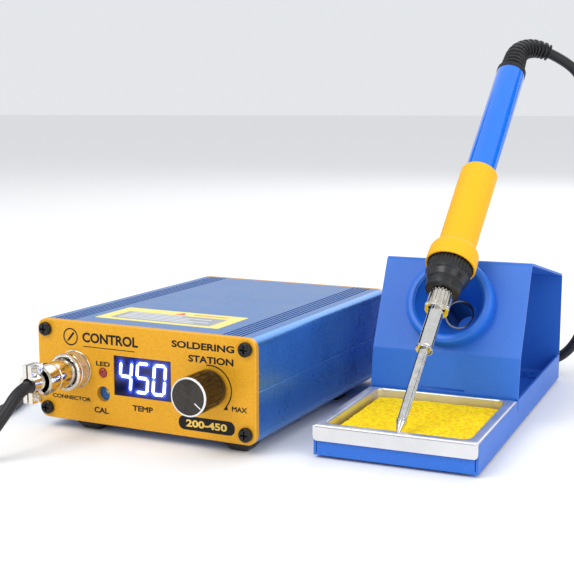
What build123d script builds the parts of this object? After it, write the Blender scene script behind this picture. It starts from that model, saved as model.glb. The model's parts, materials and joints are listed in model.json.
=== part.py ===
from build123d import *
import os
from math import cos, pi, radians, sin, tan

os.makedirs("parts", exist_ok=True)

# Soldering iron station, in millimetres: a control unit, an iron stand beside it, and the
# iron, whose tip rests on the stand's sponge while its grip leans on the holder ring.
# +Z is up and the control unit faces -Y. The origin is on the table, under the middle of
# the station without its cord.

# ---------------------------------------------------------------- driving dimensions
# Where things stand
unit_x = -113.23  # left side of the control unit
unit_y = -106.87  # front face of the control unit
stand_gap = 23.5  # from the unit's right side to the stand's left front corner
stand_back = 12.8
stand_turn = 2.95  # degrees, seen from above

# Control unit
case_width = 125.0
case_height = 51.0
case_length = 159.0  # the extrusion alone, without its two panels
case_wall = 2.0
case_corner = 5.0
panel_thickness = 3.0
foot_height = 5.0
foot_top = 17.0
foot_bottom = 9.5
foot_columns = (27.0, 112.0)  # from the unit's left side
foot_rows = (11.0, 118.0)  # from the unit's front face
rib_pitch = 2.4
rib_count = 5
rib_depth = 0.7
rib_inset = 14.0  # middle of a ribbed band, from the side
seam_depth = 0.5
screw_inset = 5.2
screw_diameter = 3.5
screw_length = 12.0
screw_head_diameter = 7.0
screw_head_height = 2.4

# Front panel fittings, from the case's lower left corner
socket_spot = (23.5, 27.0)
led_spot = (39.5, 26.5)
trimmer_spot = (39.5, 15.7)
display_spot = (62.5, 26.0)
knob_spot = (100.5, 25.5)
display_width = 33.0
display_height = 20.0
window_thickness = 1.5
led_diameter = 4.9
trimmer_hole_diameter = 7.8
trimmer_size = 9.5
trimmer_depth = 5.6
rotor_diameter = 4.0
rotor_offset = 1.6
rotor_thickness = 1.5
pot_bush_diameter = 7.0
pot_bush_length = 4.5  # in front of the panel
pot_body_diameter = 16.4
pot_shaft_diameter = 6.0
pot_nut_across = 10.0
pot_nut_thickness = 2.2
pot_washer_thickness = 0.6
knob_diameter = 18.6
knob_height = 19.0
knob_gap = 1.0  # between the knob and the panel
knob_wall = 2.0
knob_flutes = 20
knob_flute_radius = 0.6
knob_collar = 3.4  # plain band behind the knob's face

# Round connector, measured out from the panel's face
thread_diameter = 15.9
socket_flange_diameter = 19.4
socket_flange_thickness = 1.6
socket_nose = 8.0
socket_bore = 13.0
socket_depth = 12.0
ring_diameter = 18.7
ring_front = 10.4
shell_diameter = 14.0
shell_length = 24.0
clamp_diameter = 15.6
clamp_collar_length = 5.5
clamp_end = 38.0
pin_count = 5

# Rear panel fittings, from the case's lower left corner
inlet_spot = (38.0, 26.0)
inlet_flange = (50.0, 22.5)
inlet_screw_pitch = 40.0
inlet_opening = (24.2, 16.4)
inlet_depth = 16.0
switch_spot = (90.0, 26.0)
switch_flange = (15.0, 21.0)
switch_body = (13.0, 19.0)
rocker_width = 10.2
rocker_radius = 7.8
rocker_tilt = 9.0  # degrees off level at rest

# Boards
board_thickness = 1.6
board_level = 10.0  # underside of the power board above the case's bottom
power_board_length = 121.0
control_board_y = 13.0
control_board_width = 79.5
control_board_x = 35.6  # its left edge, from the unit's left side
control_board_height = 36.0

# Stand
base_width = 78.0
base_length = 200.0
base_height = 15.4
sheet = 1.2
pad_height = 1.2
corner_gap = 0.4
relief_slit = (1.0, 6.0)
plate_y = 81.8  # middle of the bracket's front sheet at the walls' top
plate_bend_y = 84.7
plate_bend_z = 36.0
top_edge_y = 107.0
top_edge_z = 81.4
rear_edge_z = 63.6
bend_radius = 2.5
ring_centre = 26.0  # up the sloping face, from its lower bend
holder_diameter = 46.0
holder_height = 8.0
holder_mouth = 36.0
holder_throat = 18.0  # depth of the cone behind the face
holder_neck = 8.0
liner_wall = 0.9
liner_length = 28.0

# Sponge tray
tray_sheet = 0.6
tray_length = 80.0
tray_rim = 5.0
tray_front_rim = 4.4
skirt_height = 7.6
sponge_top = 12.7
sponge_clearance = 0.4

# Iron, measured along its axis from the tip's end
iron_lean = 47.0  # degrees from upright
iron_heading = 2.6  # degrees to the right of the stand's length
tip_right = 38.7  # the tip's end in the stand's frame
tip_back = 6.4
tip_gap = 0.3  # above the sponge
tip_radius = 2.6
tip_taper = 7.0
sleeve_start = 47.5
sleeve_radius = 4.0
nut_start = 71.5
nut_radius = 5.9
collar_start = 83.2
collar_end = 104.0
collar_nose_radius = 5.0
flange_start = 101.0
flange_radius = 12.9
grip_radius = 9.9
grip_curve = 6.0  # length over which the flange narrows to the grip
grip_end = 165.0
tube_start = 90.2
tube_end = 243.8
tube_radius = 8.1
tube_wall = 1.6

# Cord
cord_diameter = 6.0
coil_radius = 33.0  # to the middle of its turns
coil_layers = 3
coil_centre = (62.0, 209.0)  # from the unit's left front corner
tie_thickness = 1.2
tie_width = 12.0

# Clearances
fit = 0.05  # radial, in running fits
slack = 0.1  # between fixed pieces that slide together
soft_gap = 0.3  # between bodies that may not touch

# ---------------------------------------------------------------- frames
case_base = foot_height
case_back = panel_thickness + case_length  # of the extrusion, from the front face
unit_depth = case_back + panel_thickness
case_middle_z = case_base + case_height / 2
case_middle_x = unit_x + case_width / 2


def front(x, z, out=0.0):
    """Plane on the unit's front face, facing out, at a spot from the lower left corner."""
    return Plane(
        origin=(unit_x + x, unit_y - out, case_base + z), x_dir=(1, 0, 0), z_dir=(0, -1, 0)
    )


def rear(x, z, out=0.0):
    """Plane on the unit's rear face, facing out. x is counted from the unit's left side."""
    return Plane(
        origin=(unit_x + x, unit_y + unit_depth + out, case_base + z),
        x_dir=(-1, 0, 0),
        z_dir=(0, 1, 0),
    )


turn = radians(stand_turn)
stand = Plane(
    origin=(unit_x + case_width + stand_gap, unit_y + stand_back, 0),
    x_dir=(cos(turn), sin(turn), 0),
    z_dir=(0, 0, 1),
)
# Sketches on this plane read depth and height, and grow to the stand's right.
stand_side = Plane(origin=stand.origin, x_dir=stand.y_dir, z_dir=stand.x_dir)


def finish(builder, label):
    """Name a finished piece and write it."""
    builder.part.label = label
    export_step(builder.part, f"parts/{label}.step")


def revolved(section, axis, outline, label):
    """A round piece: its outline is (radius, distance along the axis)."""
    with BuildPart() as piece:
        with BuildSketch(section):
            with BuildLine():
                Polyline(*outline, close=True)
            make_face()
        revolve(axis=axis)
    finish(piece, label)
    return piece


# ---------------------------------------------------------------- case and panels
corner_spots = [
    (sx * (case_width / 2 - screw_inset), sz * (case_height / 2 - screw_inset))
    for sx in (-1, 1)
    for sz in (-1, 1)
]
case_profile = Plane(
    origin=(case_middle_x, unit_y + panel_thickness, case_middle_z),
    x_dir=(-1, 0, 0),
    z_dir=(0, 1, 0),
)
boss_radius = screw_inset - case_wall / 2  # sunk into the wall beside it
rail_z = case_base + board_level - case_middle_z  # underside of the board in the profile
tongue = 1.5
tongue_height = 3.0
rail_depth = 2.5
rail_thickness = 1.2


def case_half(label, side):
    """One half of the extruded case: side is 1 for the upper half, -1 for the lower."""
    inner_x = case_width / 2 - case_wall
    with BuildPart() as half:
        with BuildSketch(case_profile):
            RectangleRounded(case_width, case_height, case_corner)
            RectangleRounded(
                case_width - 2 * case_wall,
                case_height - 2 * case_wall,
                case_corner - case_wall,
                mode=Mode.SUBTRACT,
            )
            with Locations(*corner_spots):
                Circle(boss_radius)
            with Locations(*corner_spots):
                Circle(screw_diameter / 2 + fit, mode=Mode.SUBTRACT)
            for band in (-1, 1):
                with Locations((band * (case_width / 2 - rib_inset), side * case_height / 2)):
                    with GridLocations(rib_pitch, 1, rib_count, 1):
                        Rectangle(rib_pitch / 2, 2 * rib_depth, mode=Mode.SUBTRACT)
            with Locations((-case_width / 2, 0), (case_width / 2, 0)):
                Rectangle(seam_depth, seam_depth, rotation=45, mode=Mode.SUBTRACT)
            with Locations((0, side * case_height / 2)):
                Rectangle(2 * case_width, case_height, mode=Mode.INTERSECT)
            if side < 0:
                for wall in (-1, 1):
                    with Locations((wall * (inner_x - slack - tongue / 2), 0)):
                        Rectangle(tongue, 2 * tongue_height)
                    with Locations((wall * inner_x, -tongue_height / 2)):
                        Rectangle(tongue, tongue_height)
                    with Locations(
                        (wall * (inner_x - rail_depth / 2), rail_z - slack - rail_thickness / 2),
                        (
                            wall * (inner_x - rail_depth / 2),
                            rail_z + board_thickness + slack + rail_thickness / 2,
                        ),
                    ):
                        Rectangle(rail_depth, rail_thickness)
        extrude(amount=case_length)
    finish(half, label)


case_half("case_upper", 1)
case_half("case_lower", -1)

panel_edge = 0.4
screw_hole = screw_diameter / 2 + 0.25
panel_middle = (case_width / 2, case_height / 2)

with BuildPart() as front_panel:
    with BuildSketch(front(*panel_middle)):
        RectangleRounded(case_width, case_height, case_corner)
        with Locations(*corner_spots):
            Circle(screw_hole, mode=Mode.SUBTRACT)
        for spot, radius in (
            (socket_spot, thread_diameter / 2 + slack),
            (led_spot, led_diameter / 2 + slack),
            (trimmer_spot, trimmer_hole_diameter / 2),
            (knob_spot, pot_bush_diameter / 2 + slack),
        ):
            with Locations((spot[0] - panel_middle[0], spot[1] - panel_middle[1])):
                Circle(radius, mode=Mode.SUBTRACT)
        with Locations((display_spot[0] - panel_middle[0], display_spot[1] - panel_middle[1])):
            Rectangle(display_width, display_height, mode=Mode.SUBTRACT)
    extrude(amount=-panel_thickness)
    outline = front_panel.faces().sort_by(Axis.Y)[0].outer_wire().edges()
    chamfer(outline, panel_edge)
finish(front_panel, "front_panel")

with BuildPart() as rear_panel:
    with BuildSketch(rear(*panel_middle)):
        RectangleRounded(case_width, case_height, case_corner)
        with Locations(*corner_spots):
            Circle(screw_hole, mode=Mode.SUBTRACT)
        with Locations((panel_middle[0] - inlet_spot[0], inlet_spot[1] - panel_middle[1])):
            Rectangle(inlet_opening[0] + 4, inlet_opening[1] + 4, mode=Mode.SUBTRACT)
            with GridLocations(inlet_screw_pitch, 1, 2, 1):
                Circle(1.6, mode=Mode.SUBTRACT)
        with Locations((panel_middle[0] - switch_spot[0], switch_spot[1] - panel_middle[1])):
            Rectangle(
                switch_body[0] + 2 * slack, switch_body[1] + 2 * slack, mode=Mode.SUBTRACT
            )
    extrude(amount=-panel_thickness)
    outline = rear_panel.faces().sort_by(Axis.Y)[-1].outer_wire().edges()
    chamfer(outline, panel_edge)
finish(rear_panel, "rear_panel")


def panel_screws(label, face):
    """Four cross-recessed pan heads with their shanks in the case's corner bosses."""
    with BuildPart() as screws:
        with BuildSketch(face):
            with Locations(*corner_spots):
                Circle(screw_head_diameter / 2)
        extrude(amount=screw_head_height)
        rims = screws.edges().filter_by(GeomType.CIRCLE).group_by(Axis.Y)
        fillet(rims[0] if face.z_dir.Y < 0 else rims[-1], screw_head_height / 2)
        with BuildSketch(face):
            with Locations(*corner_spots):
                Circle(screw_diameter / 2)
        extrude(amount=-screw_length)
        with BuildSketch(face.offset(screw_head_height)):
            with Locations(*corner_spots):
                Rectangle(screw_head_diameter * 0.56, 0.9)
                Rectangle(0.9, screw_head_diameter * 0.56)
        extrude(amount=-screw_head_height * 0.6, mode=Mode.SUBTRACT)
    finish(screws, label)


panel_screws("front_screws", front(*panel_middle))
panel_screws("rear_screws", rear(*panel_middle))

with BuildPart() as unit_feet:
    foot_spots = [(unit_x + x, unit_y + y) for x in foot_columns for y in foot_rows]
    for spot in foot_spots:
        with BuildSketch(Plane(origin=(*spot, 0))):
            RectangleRounded(foot_bottom, foot_bottom, 1.2)
        with BuildSketch(Plane(origin=(*spot, foot_height))):
            RectangleRounded(foot_top, foot_top, 2.0)
        loft()
finish(unit_feet, "unit_feet")

# ---------------------------------------------------------------- display, light and trimmer
window_recess = 0.3
display_front = window_recess + window_thickness

with BuildPart() as display_window:
    with BuildSketch(front(*display_spot, -window_recess)):
        Rectangle(display_width - 2 * slack, display_height - 2 * slack)
    extrude(amount=-window_thickness)
finish(display_window, "display_window")

with BuildPart() as display_module:
    with BuildSketch(front(*display_spot, -display_front)):
        Rectangle(display_width - 3 * slack, display_height - 3 * slack)
    extrude(amount=-(control_board_y - display_front))
finish(display_module, "display_module")

lead_pitch = 2.54
led_flange = 0.9
led_stand_out = 0.3

with BuildPart() as status_led:
    with BuildSketch(front(*led_spot, led_stand_out)):
        Circle(led_diameter / 2)
    extrude(amount=-(panel_thickness + led_stand_out))
    with Locations(front(*led_spot, led_stand_out)):
        Sphere(led_diameter / 2)
    with BuildSketch(front(*led_spot, -panel_thickness)):
        Circle(led_diameter / 2 + 0.45)
    extrude(amount=-led_flange)
    with BuildSketch(front(*led_spot, -panel_thickness - led_flange)):
        with GridLocations(lead_pitch, 1, 2, 1):
            Circle(0.3)
    extrude(amount=-(control_board_y - panel_thickness - led_flange))
finish(status_led, "status_led")

trimmer_front = panel_thickness + soft_gap
rotor_spot = (trimmer_spot[0] + rotor_offset, trimmer_spot[1] + rotor_offset)

with BuildPart() as trimmer_body:
    with BuildSketch(front(*trimmer_spot, -trimmer_front)):
        Rectangle(trimmer_size, trimmer_size)
    extrude(amount=-trimmer_depth)
    with BuildSketch(front(*rotor_spot, -trimmer_front)):
        Circle(rotor_diameter / 2 + fit)
    extrude(amount=-rotor_thickness, mode=Mode.SUBTRACT)
    with BuildSketch(front(*trimmer_spot, -trimmer_front - trimmer_depth)):
        with Locations((-lead_pitch, -lead_pitch), (lead_pitch, -lead_pitch), (0, lead_pitch)):
            Circle(0.35)
    extrude(amount=-(control_board_y - trimmer_front - trimmer_depth))
finish(trimmer_body, "trimmer_body")

with BuildPart() as trimmer_rotor:
    with BuildSketch(front(*rotor_spot, -trimmer_front + soft_gap)):
        Circle(rotor_diameter / 2)
    extrude(amount=-(rotor_thickness + soft_gap - fit))
    with BuildSketch(front(*rotor_spot, -trimmer_front + soft_gap)):
        Rectangle(rotor_diameter * 0.8, 0.6)
        Rectangle(0.6, rotor_diameter * 0.8)
    extrude(amount=-0.8, mode=Mode.SUBTRACT)
finish(trimmer_rotor, "trimmer_rotor")

# ---------------------------------------------------------------- temperature control
with BuildPart() as potentiometer:
    with BuildSketch(front(*knob_spot, -panel_thickness)):
        Circle(pot_body_diameter / 2)
    extrude(amount=-(control_board_y - panel_thickness))
    with BuildSketch(front(*knob_spot, pot_bush_length)):
        Circle(pot_bush_diameter / 2)
    extrude(amount=-(pot_bush_length + panel_thickness))
    with BuildSketch(front(*knob_spot, pot_bush_length)):
        Circle(pot_shaft_diameter / 2 + fit)
    extrude(amount=-(pot_bush_length + panel_thickness), mode=Mode.SUBTRACT)
finish(potentiometer, "potentiometer")

with BuildPart() as pot_washer:
    with BuildSketch(front(*knob_spot)):
        Circle(pot_nut_across / 2 + 1)
        Circle(pot_bush_diameter / 2 + slack, mode=Mode.SUBTRACT)
    extrude(amount=pot_washer_thickness)
finish(pot_washer, "pot_washer")

with BuildPart() as pot_nut:
    with BuildSketch(front(*knob_spot, pot_washer_thickness)):
        RegularPolygon(pot_nut_across / 2, 6, major_radius=False)
        Circle(pot_bush_diameter / 2 + fit, mode=Mode.SUBTRACT)
    extrude(amount=pot_nut_thickness)
finish(pot_nut, "pot_nut")

knob_face = knob_gap + knob_height
knob_floor = 2.5  # thickness behind the knob's face
hub_radius = knob_diameter / 2 - knob_wall
nut_room = pot_nut_across / 2 / cos(pi / 6) + 0.5
nut_room_depth = pot_bush_length + 0.6 - knob_gap
shaft_end = knob_face - knob_floor - 0.6

with BuildPart() as pot_shaft:
    with BuildSketch(front(*knob_spot, shaft_end)):
        Circle(pot_shaft_diameter / 2)
    extrude(amount=-(shaft_end + panel_thickness - soft_gap))
finish(pot_shaft, "pot_shaft")

with BuildPart() as knob_shell:
    with BuildSketch(front(*knob_spot, knob_gap)):
        Circle(knob_diameter / 2)
    extrude(amount=knob_height)
    chamfer(knob_shell.faces().sort_by(Axis.Y)[0].edges(), 0.7)
    with BuildSketch(front(*knob_spot, knob_gap)):
        Circle(hub_radius)
    extrude(amount=knob_height - knob_floor, mode=Mode.SUBTRACT)
    with BuildSketch(front(*knob_spot, knob_gap + 1.2)):
        with PolarLocations(knob_diameter / 2 + 0.1, knob_flutes):
            Circle(knob_flute_radius)
    extrude(amount=knob_height - knob_collar - 1.2, mode=Mode.SUBTRACT)
    with BuildSketch(front(*knob_spot, knob_face)):
        Circle(knob_diameter / 2 - 1.3)
    extrude(amount=-0.25, mode=Mode.SUBTRACT)
finish(knob_shell, "knob_shell")

grub_radius = 1.5
grub_out = knob_gap + nut_room_depth + 4.0
grub_plane = Plane(front(*knob_spot, grub_out).origin, x_dir=(0, 1, 0), z_dir=(0, 0, 1))

with BuildPart() as knob_hub:
    with BuildSketch(front(*knob_spot, knob_gap)):
        Circle(hub_radius)
    extrude(amount=knob_height - knob_floor)
    with BuildSketch(front(*knob_spot, knob_gap)):
        Circle(nut_room)
    extrude(amount=nut_room_depth, mode=Mode.SUBTRACT)
    with BuildSketch(front(*knob_spot, knob_gap)):
        Circle(pot_shaft_diameter / 2)
    extrude(amount=shaft_end - knob_gap, mode=Mode.SUBTRACT)
    with BuildSketch(grub_plane):
        Circle(grub_radius)
    extrude(amount=hub_radius, mode=Mode.SUBTRACT)
finish(knob_hub, "knob_hub")

with BuildPart() as knob_grub_screw:
    with BuildSketch(grub_plane.offset(pot_shaft_diameter / 2)):
        Circle(grub_radius - 0.02)
    extrude(amount=hub_radius - pot_shaft_diameter / 2 - 0.2)
    with BuildSketch(grub_plane.offset(hub_radius - 0.2)):
        RegularPolygon(0.75, 6, major_radius=False)
    extrude(amount=-1.5, mode=Mode.SUBTRACT)
finish(knob_grub_screw, "knob_grub_screw")

# ---------------------------------------------------------------- round connector
socket_axis = Axis((unit_x + socket_spot[0], unit_y, case_base + socket_spot[1]), (0, -1, 0))
# Outlines on this plane read (radius, distance out from the panel's face).
socket_section = Plane(origin=socket_axis.position, x_dir=(1, 0, 0), z_dir=(0, 0, -1))

thread_radius = thread_diameter / 2
bore_radius = socket_bore / 2
insert_front = -2.0
insert_back = -10.0
revolved(
    socket_section,
    socket_axis,
    [
        (bore_radius, socket_nose),
        (thread_radius, socket_nose),
        (thread_radius, socket_flange_thickness),
        (socket_flange_diameter / 2, socket_flange_thickness),
        (socket_flange_diameter / 2, 0),
        (thread_radius, 0),
        (thread_radius, -socket_depth),
        (bore_radius, -socket_depth),
    ],
    "socket_body",
)

with BuildPart() as socket_nut:
    with BuildSketch(front(*socket_spot, -panel_thickness)):
        RegularPolygon(10.0, 6, major_radius=False)
        Circle(thread_radius + fit, mode=Mode.SUBTRACT)
    extrude(amount=-3.0)
finish(socket_nut, "socket_nut")

pin_circle = 3.9
with BuildPart() as socket_insert:
    with BuildSketch(front(*socket_spot, insert_front)):
        Circle(bore_radius - fit)
        with PolarLocations(pin_circle, pin_count):
            Circle(0.8, mode=Mode.SUBTRACT)
    extrude(amount=insert_back - insert_front)
finish(socket_insert, "socket_insert")

with BuildPart() as socket_pins:
    with BuildSketch(front(*socket_spot, insert_front + 3.0)):
        with PolarLocations(pin_circle, pin_count):
            Circle(0.8)
    extrude(amount=insert_back - insert_front - 7.0)
finish(socket_pins, "socket_pins")

shell_bore = 5.0
shoulder_radius = thread_radius - fit - 0.2
ring_lip = 0.9
barrel_front = 2.2
thread_relief = 6.2
revolved(
    socket_section,
    socket_axis,
    [
        (shell_bore, barrel_front),
        (bore_radius - slack, barrel_front),
        (bore_radius - slack, socket_nose + 0.2),
        (shoulder_radius, socket_nose + 0.2),
        (shoulder_radius, ring_front - ring_lip - 0.1),
        (shell_diameter / 2, ring_front - ring_lip - 0.1),
        (shell_diameter / 2, shell_length),
        (thread_relief, shell_length),
        (thread_relief, shell_length + clamp_collar_length - 0.5),
        (shell_bore, shell_length + clamp_collar_length - 0.5),
    ],
    "plug_shell",
)

ring_back = socket_flange_thickness + 0.2
ring_radius = ring_diameter / 2
revolved(
    socket_section,
    socket_axis,
    [
        (thread_radius + fit, ring_back),
        (ring_radius, ring_back),
        (ring_radius, ring_front - 0.8),
        (ring_radius - 0.8, ring_front),
        (shell_diameter / 2 + fit, ring_front),
        (shell_diameter / 2 + fit, ring_front - ring_lip),
        (thread_radius + fit, ring_front - ring_lip),
    ],
    "coupling_ring",
)

# The rear clamp splits along the cord, with its two screws above and below the cord.
clamp_start = shell_length
jaw_start = clamp_start + clamp_collar_length
cord_radius = cord_diameter / 2
jaw_outer = 4.9
ear_reach = 9.2
ear_width = 5.4
jaw_screw = 6.9  # from the cord's middle to a clamp screw
jaw_split = 0.4
jaw_screw_radius = 1.25
# Screw heads lie on the saddle's outer side, which faces +X.
ear_side = Plane(
    front(*socket_spot, (jaw_start + clamp_end) / 2).origin, x_dir=(0, 1, 0), z_dir=(1, 0, 0)
).offset(ear_width / 2)

with BuildPart() as cord_clamp:
    with BuildSketch(front(*socket_spot, clamp_start)):
        Circle(clamp_diameter / 2)
        Circle(thread_relief, mode=Mode.SUBTRACT)
    extrude(amount=clamp_collar_length)
    with BuildSketch(front(*socket_spot, jaw_start)):
        Circle(jaw_outer)
        Rectangle(ear_width, 2 * ear_reach)
        Circle(cord_radius, mode=Mode.SUBTRACT)
        with Locations((ear_reach - jaw_split, 0)):
            Rectangle(2 * ear_reach, 3 * ear_reach, mode=Mode.SUBTRACT)
    extrude(amount=clamp_end - jaw_start)
    with BuildSketch(front(*socket_spot, jaw_start)):
        Circle(clamp_diameter / 2)
        Circle(cord_radius, mode=Mode.SUBTRACT)
        with Locations((ear_reach - jaw_split, 0)):
            Rectangle(2 * ear_reach, 3 * ear_reach, mode=Mode.SUBTRACT)
    extrude(amount=-0.4)
    with BuildSketch(ear_side):
        with Locations((0, jaw_screw), (0, -jaw_screw)):
            Circle(jaw_screw_radius)
    extrude(amount=-ear_width, mode=Mode.SUBTRACT)
finish(cord_clamp, "cord_clamp")

with BuildPart() as clamp_saddle:
    with BuildSketch(front(*socket_spot, jaw_start + 0.2)):
        Circle(jaw_outer)
        Rectangle(ear_width, 2 * ear_reach)
        Circle(cord_radius, mode=Mode.SUBTRACT)
        with Locations((-ear_reach + jaw_split, 0)):
            Rectangle(2 * ear_reach, 3 * ear_reach, mode=Mode.SUBTRACT)
    extrude(amount=clamp_end - jaw_start - 0.2)
    with BuildSketch(ear_side):
        with Locations((0, jaw_screw), (0, -jaw_screw)):
            Circle(jaw_screw_radius)
    extrude(amount=-ear_width, mode=Mode.SUBTRACT)
finish(clamp_saddle, "clamp_saddle")

with BuildPart() as clamp_screws:
    with BuildSketch(ear_side):
        with Locations((0, jaw_screw), (0, -jaw_screw)):
            Circle(1.9)
    extrude(amount=1.7)
    with BuildSketch(ear_side):
        with Locations((0, jaw_screw), (0, -jaw_screw)):
            Circle(jaw_screw_radius)
    extrude(amount=-(ear_width - 0.4))
    with BuildSketch(ear_side.offset(1.7)):
        with Locations((0, jaw_screw), (0, -jaw_screw)):
            Rectangle(2.6, 0.6)
            Rectangle(0.6, 2.6)
    extrude(amount=-1.0, mode=Mode.SUBTRACT)
finish(clamp_screws, "clamp_screws")

# ---------------------------------------------------------------- mains inlet and switch
inlet_body_gap = 0.1
inlet_flange_thickness = 3.0
inlet_body_width = inlet_opening[0] + 4 - 2 * inlet_body_gap
inlet_body_height = inlet_opening[1] + 4 - 2 * inlet_body_gap
inlet_body_depth = 20.0

with BuildPart() as inlet_body:
    with BuildSketch(rear(*inlet_spot)):
        RectangleRounded(*inlet_flange, 4.0)
    extrude(amount=inlet_flange_thickness)
    with BuildSketch(rear(*inlet_spot)):
        Rectangle(inlet_body_width, inlet_body_height)
    extrude(amount=-inlet_body_depth)
    with BuildSketch(rear(*inlet_spot, inlet_flange_thickness)):
        Rectangle(*inlet_opening)
    extrude(amount=-inlet_depth, mode=Mode.SUBTRACT)
    with BuildSketch(rear(*inlet_spot, inlet_flange_thickness)):
        with GridLocations(inlet_screw_pitch, 1, 2, 1):
            Circle(1.6)
    extrude(amount=-inlet_flange_thickness, mode=Mode.SUBTRACT)
finish(inlet_body, "inlet_body")

with BuildPart() as inlet_pins:
    with BuildSketch(rear(*inlet_spot, inlet_flange_thickness - inlet_depth)):
        with Locations((-7.0, -1.0), (0.0, 3.0), (7.0, -1.0)):
            Rectangle(2.0, 4.0)
    extrude(amount=inlet_depth - 3.0)
finish(inlet_pins, "inlet_pins")

with BuildPart() as inlet_screws:
    with BuildSketch(rear(*inlet_spot, inlet_flange_thickness)):
        with GridLocations(inlet_screw_pitch, 1, 2, 1):
            Circle(2.8)
    extrude(amount=1.6)
    with BuildSketch(rear(*inlet_spot, inlet_flange_thickness)):
        with GridLocations(inlet_screw_pitch, 1, 2, 1):
            Circle(1.6)
    extrude(amount=-(inlet_flange_thickness + panel_thickness + 1.0))
    with BuildSketch(rear(*inlet_spot, inlet_flange_thickness + 1.6)):
        with GridLocations(inlet_screw_pitch, 1, 2, 1):
            Rectangle(3.4, 0.8)
            Rectangle(0.8, 3.4)
    extrude(amount=-0.9, mode=Mode.SUBTRACT)
finish(inlet_screws, "inlet_screws")

switch_flange_thickness = 2.0
switch_depth = 14.0
rocker_room = 0.3
rocker_pin_radius = 1.0
rocker_pin_reach = rocker_width / 2 + rocker_room + 0.6
hinge_side = Plane(
    origin=rear(*switch_spot).origin, x_dir=rear(*switch_spot).z_dir, z_dir=(1, 0, 0)
)

with BuildPart() as switch_frame:
    with BuildSketch(rear(*switch_spot)):
        RectangleRounded(*switch_flange, 1.5)
    extrude(amount=switch_flange_thickness)
    with BuildSketch(rear(*switch_spot)):
        Rectangle(*switch_body)
    extrude(amount=-switch_depth)
    with BuildSketch(rear(*switch_spot, switch_flange_thickness)):
        Rectangle(rocker_width + 2 * rocker_room, 2 * (rocker_radius + rocker_room))
    extrude(amount=-(switch_flange_thickness + switch_depth - 2.0), mode=Mode.SUBTRACT)
    with BuildSketch(hinge_side):
        Circle(rocker_pin_radius + fit)
    extrude(amount=rocker_pin_reach + 0.1, both=True, mode=Mode.SUBTRACT)
finish(switch_frame, "switch_frame")

with BuildPart() as rocker:
    with BuildSketch(hinge_side):
        with BuildLine():
            Polyline(
                (-3.4, -rocker_radius),
                (4.0, -rocker_radius),
                (2.6, 0),
                (4.0, rocker_radius),
                (-3.4, rocker_radius),
                close=True,
            )
        make_face()
        Circle(rocker_radius, mode=Mode.INTERSECT)
    extrude(amount=rocker_width / 2, both=True)
    with BuildSketch(hinge_side):
        Circle(rocker_pin_radius)
    extrude(amount=rocker_pin_reach, both=True)
rocker.part = rocker.part.rotate(Axis(hinge_side.origin, (1, 0, 0)), rocker_tilt)
finish(rocker, "rocker")

# ---------------------------------------------------------------- boards inside
board_top = board_level + board_thickness
inner_width = case_width - 2 * case_wall


def on_board(x, y, z=0.0):
    """Plane facing up from the power board, counted from the unit's lower left corner."""
    return Plane(origin=(unit_x + x, unit_y + y, case_base + board_top + z))


with BuildPart() as power_board:
    with BuildSketch(on_board(case_width / 2, control_board_y + power_board_length / 2)):
        Rectangle(inner_width - 2 * slack, power_board_length)
    extrude(amount=-board_thickness)
finish(power_board, "power_board")

with BuildPart() as control_board:
    board_middle = control_board_x + control_board_width / 2
    with BuildSketch(
        front(board_middle, board_top + control_board_height / 2, -control_board_y)
    ):
        Rectangle(control_board_width, control_board_height)
    extrude(amount=-board_thickness)
finish(control_board, "control_board")

core = (57.0, 40.0, 30.0)
core_spot = (38.0, 98.0)
with BuildPart() as transformer:
    with BuildSketch(on_board(*core_spot, 2.0)):
        Rectangle(core[0], core[1] * 0.55)
    extrude(amount=core[2])
    with BuildSketch(on_board(*core_spot)):
        RectangleRounded(core[0] * 0.62, core[1], 3.0)
    extrude(amount=core[2] - 2.0)
finish(transformer, "transformer")

capacitor_spots = ((88.0, 44.0), (106.0, 44.0))
with BuildPart() as filter_capacitors:
    for spot in capacitor_spots:
        with BuildSketch(on_board(*spot)):
            Circle(7.5)
        extrude(amount=26.0)
finish(filter_capacitors, "filter_capacitors")

with BuildPart() as heat_sink:
    with BuildSketch(on_board(96.0, 76.0)):
        Rectangle(36.0, 3.0)
        with GridLocations(4.0, 1, 9, 1):
            with Locations((0, 5.0)):
                Rectangle(1.4, 10.0)
    extrude(amount=28.0)
finish(heat_sink, "heat_sink")

with BuildPart() as board_fuse:
    with BuildSketch(on_board(96.0, 118.0)):
        with GridLocations(16.0, 1, 2, 1):
            Rectangle(5.0, 6.6)
    extrude(amount=6.0)
    with BuildSketch(
        Plane(origin=on_board(86.0, 118.0, 4.0).origin, x_dir=(0, 1, 0), z_dir=(1, 0, 0))
    ):
        Circle(2.6)
    extrude(amount=20.0)
finish(board_fuse, "board_fuse")

# ---------------------------------------------------------------- stand
def on_stand(x, y, z):
    """Plane facing up at a spot counted from the stand's right front corner on the table."""
    return Plane(
        origin=stand.from_local_coords((x, y, z)), x_dir=stand.x_dir, z_dir=(0, 0, 1)
    )


floor_top = pad_height + sheet
wall_height = base_height - pad_height
flap_width = base_width - 2 * (sheet + corner_gap)
tongue_width = flap_width
foot_length = 14.0
bracket_rear = base_length - sheet / 2
foot_middle_z = floor_top + sheet / 2
screw_columns = (base_width / 2 - 22.0, base_width / 2 + 22.0)
screw_rows = (plate_y + foot_length - 5.0, base_length - foot_length + 4.0)
stand_screw_spots = [(x, y) for x in screw_columns for y in screw_rows]
stand_screw_radius = 1.5

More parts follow.
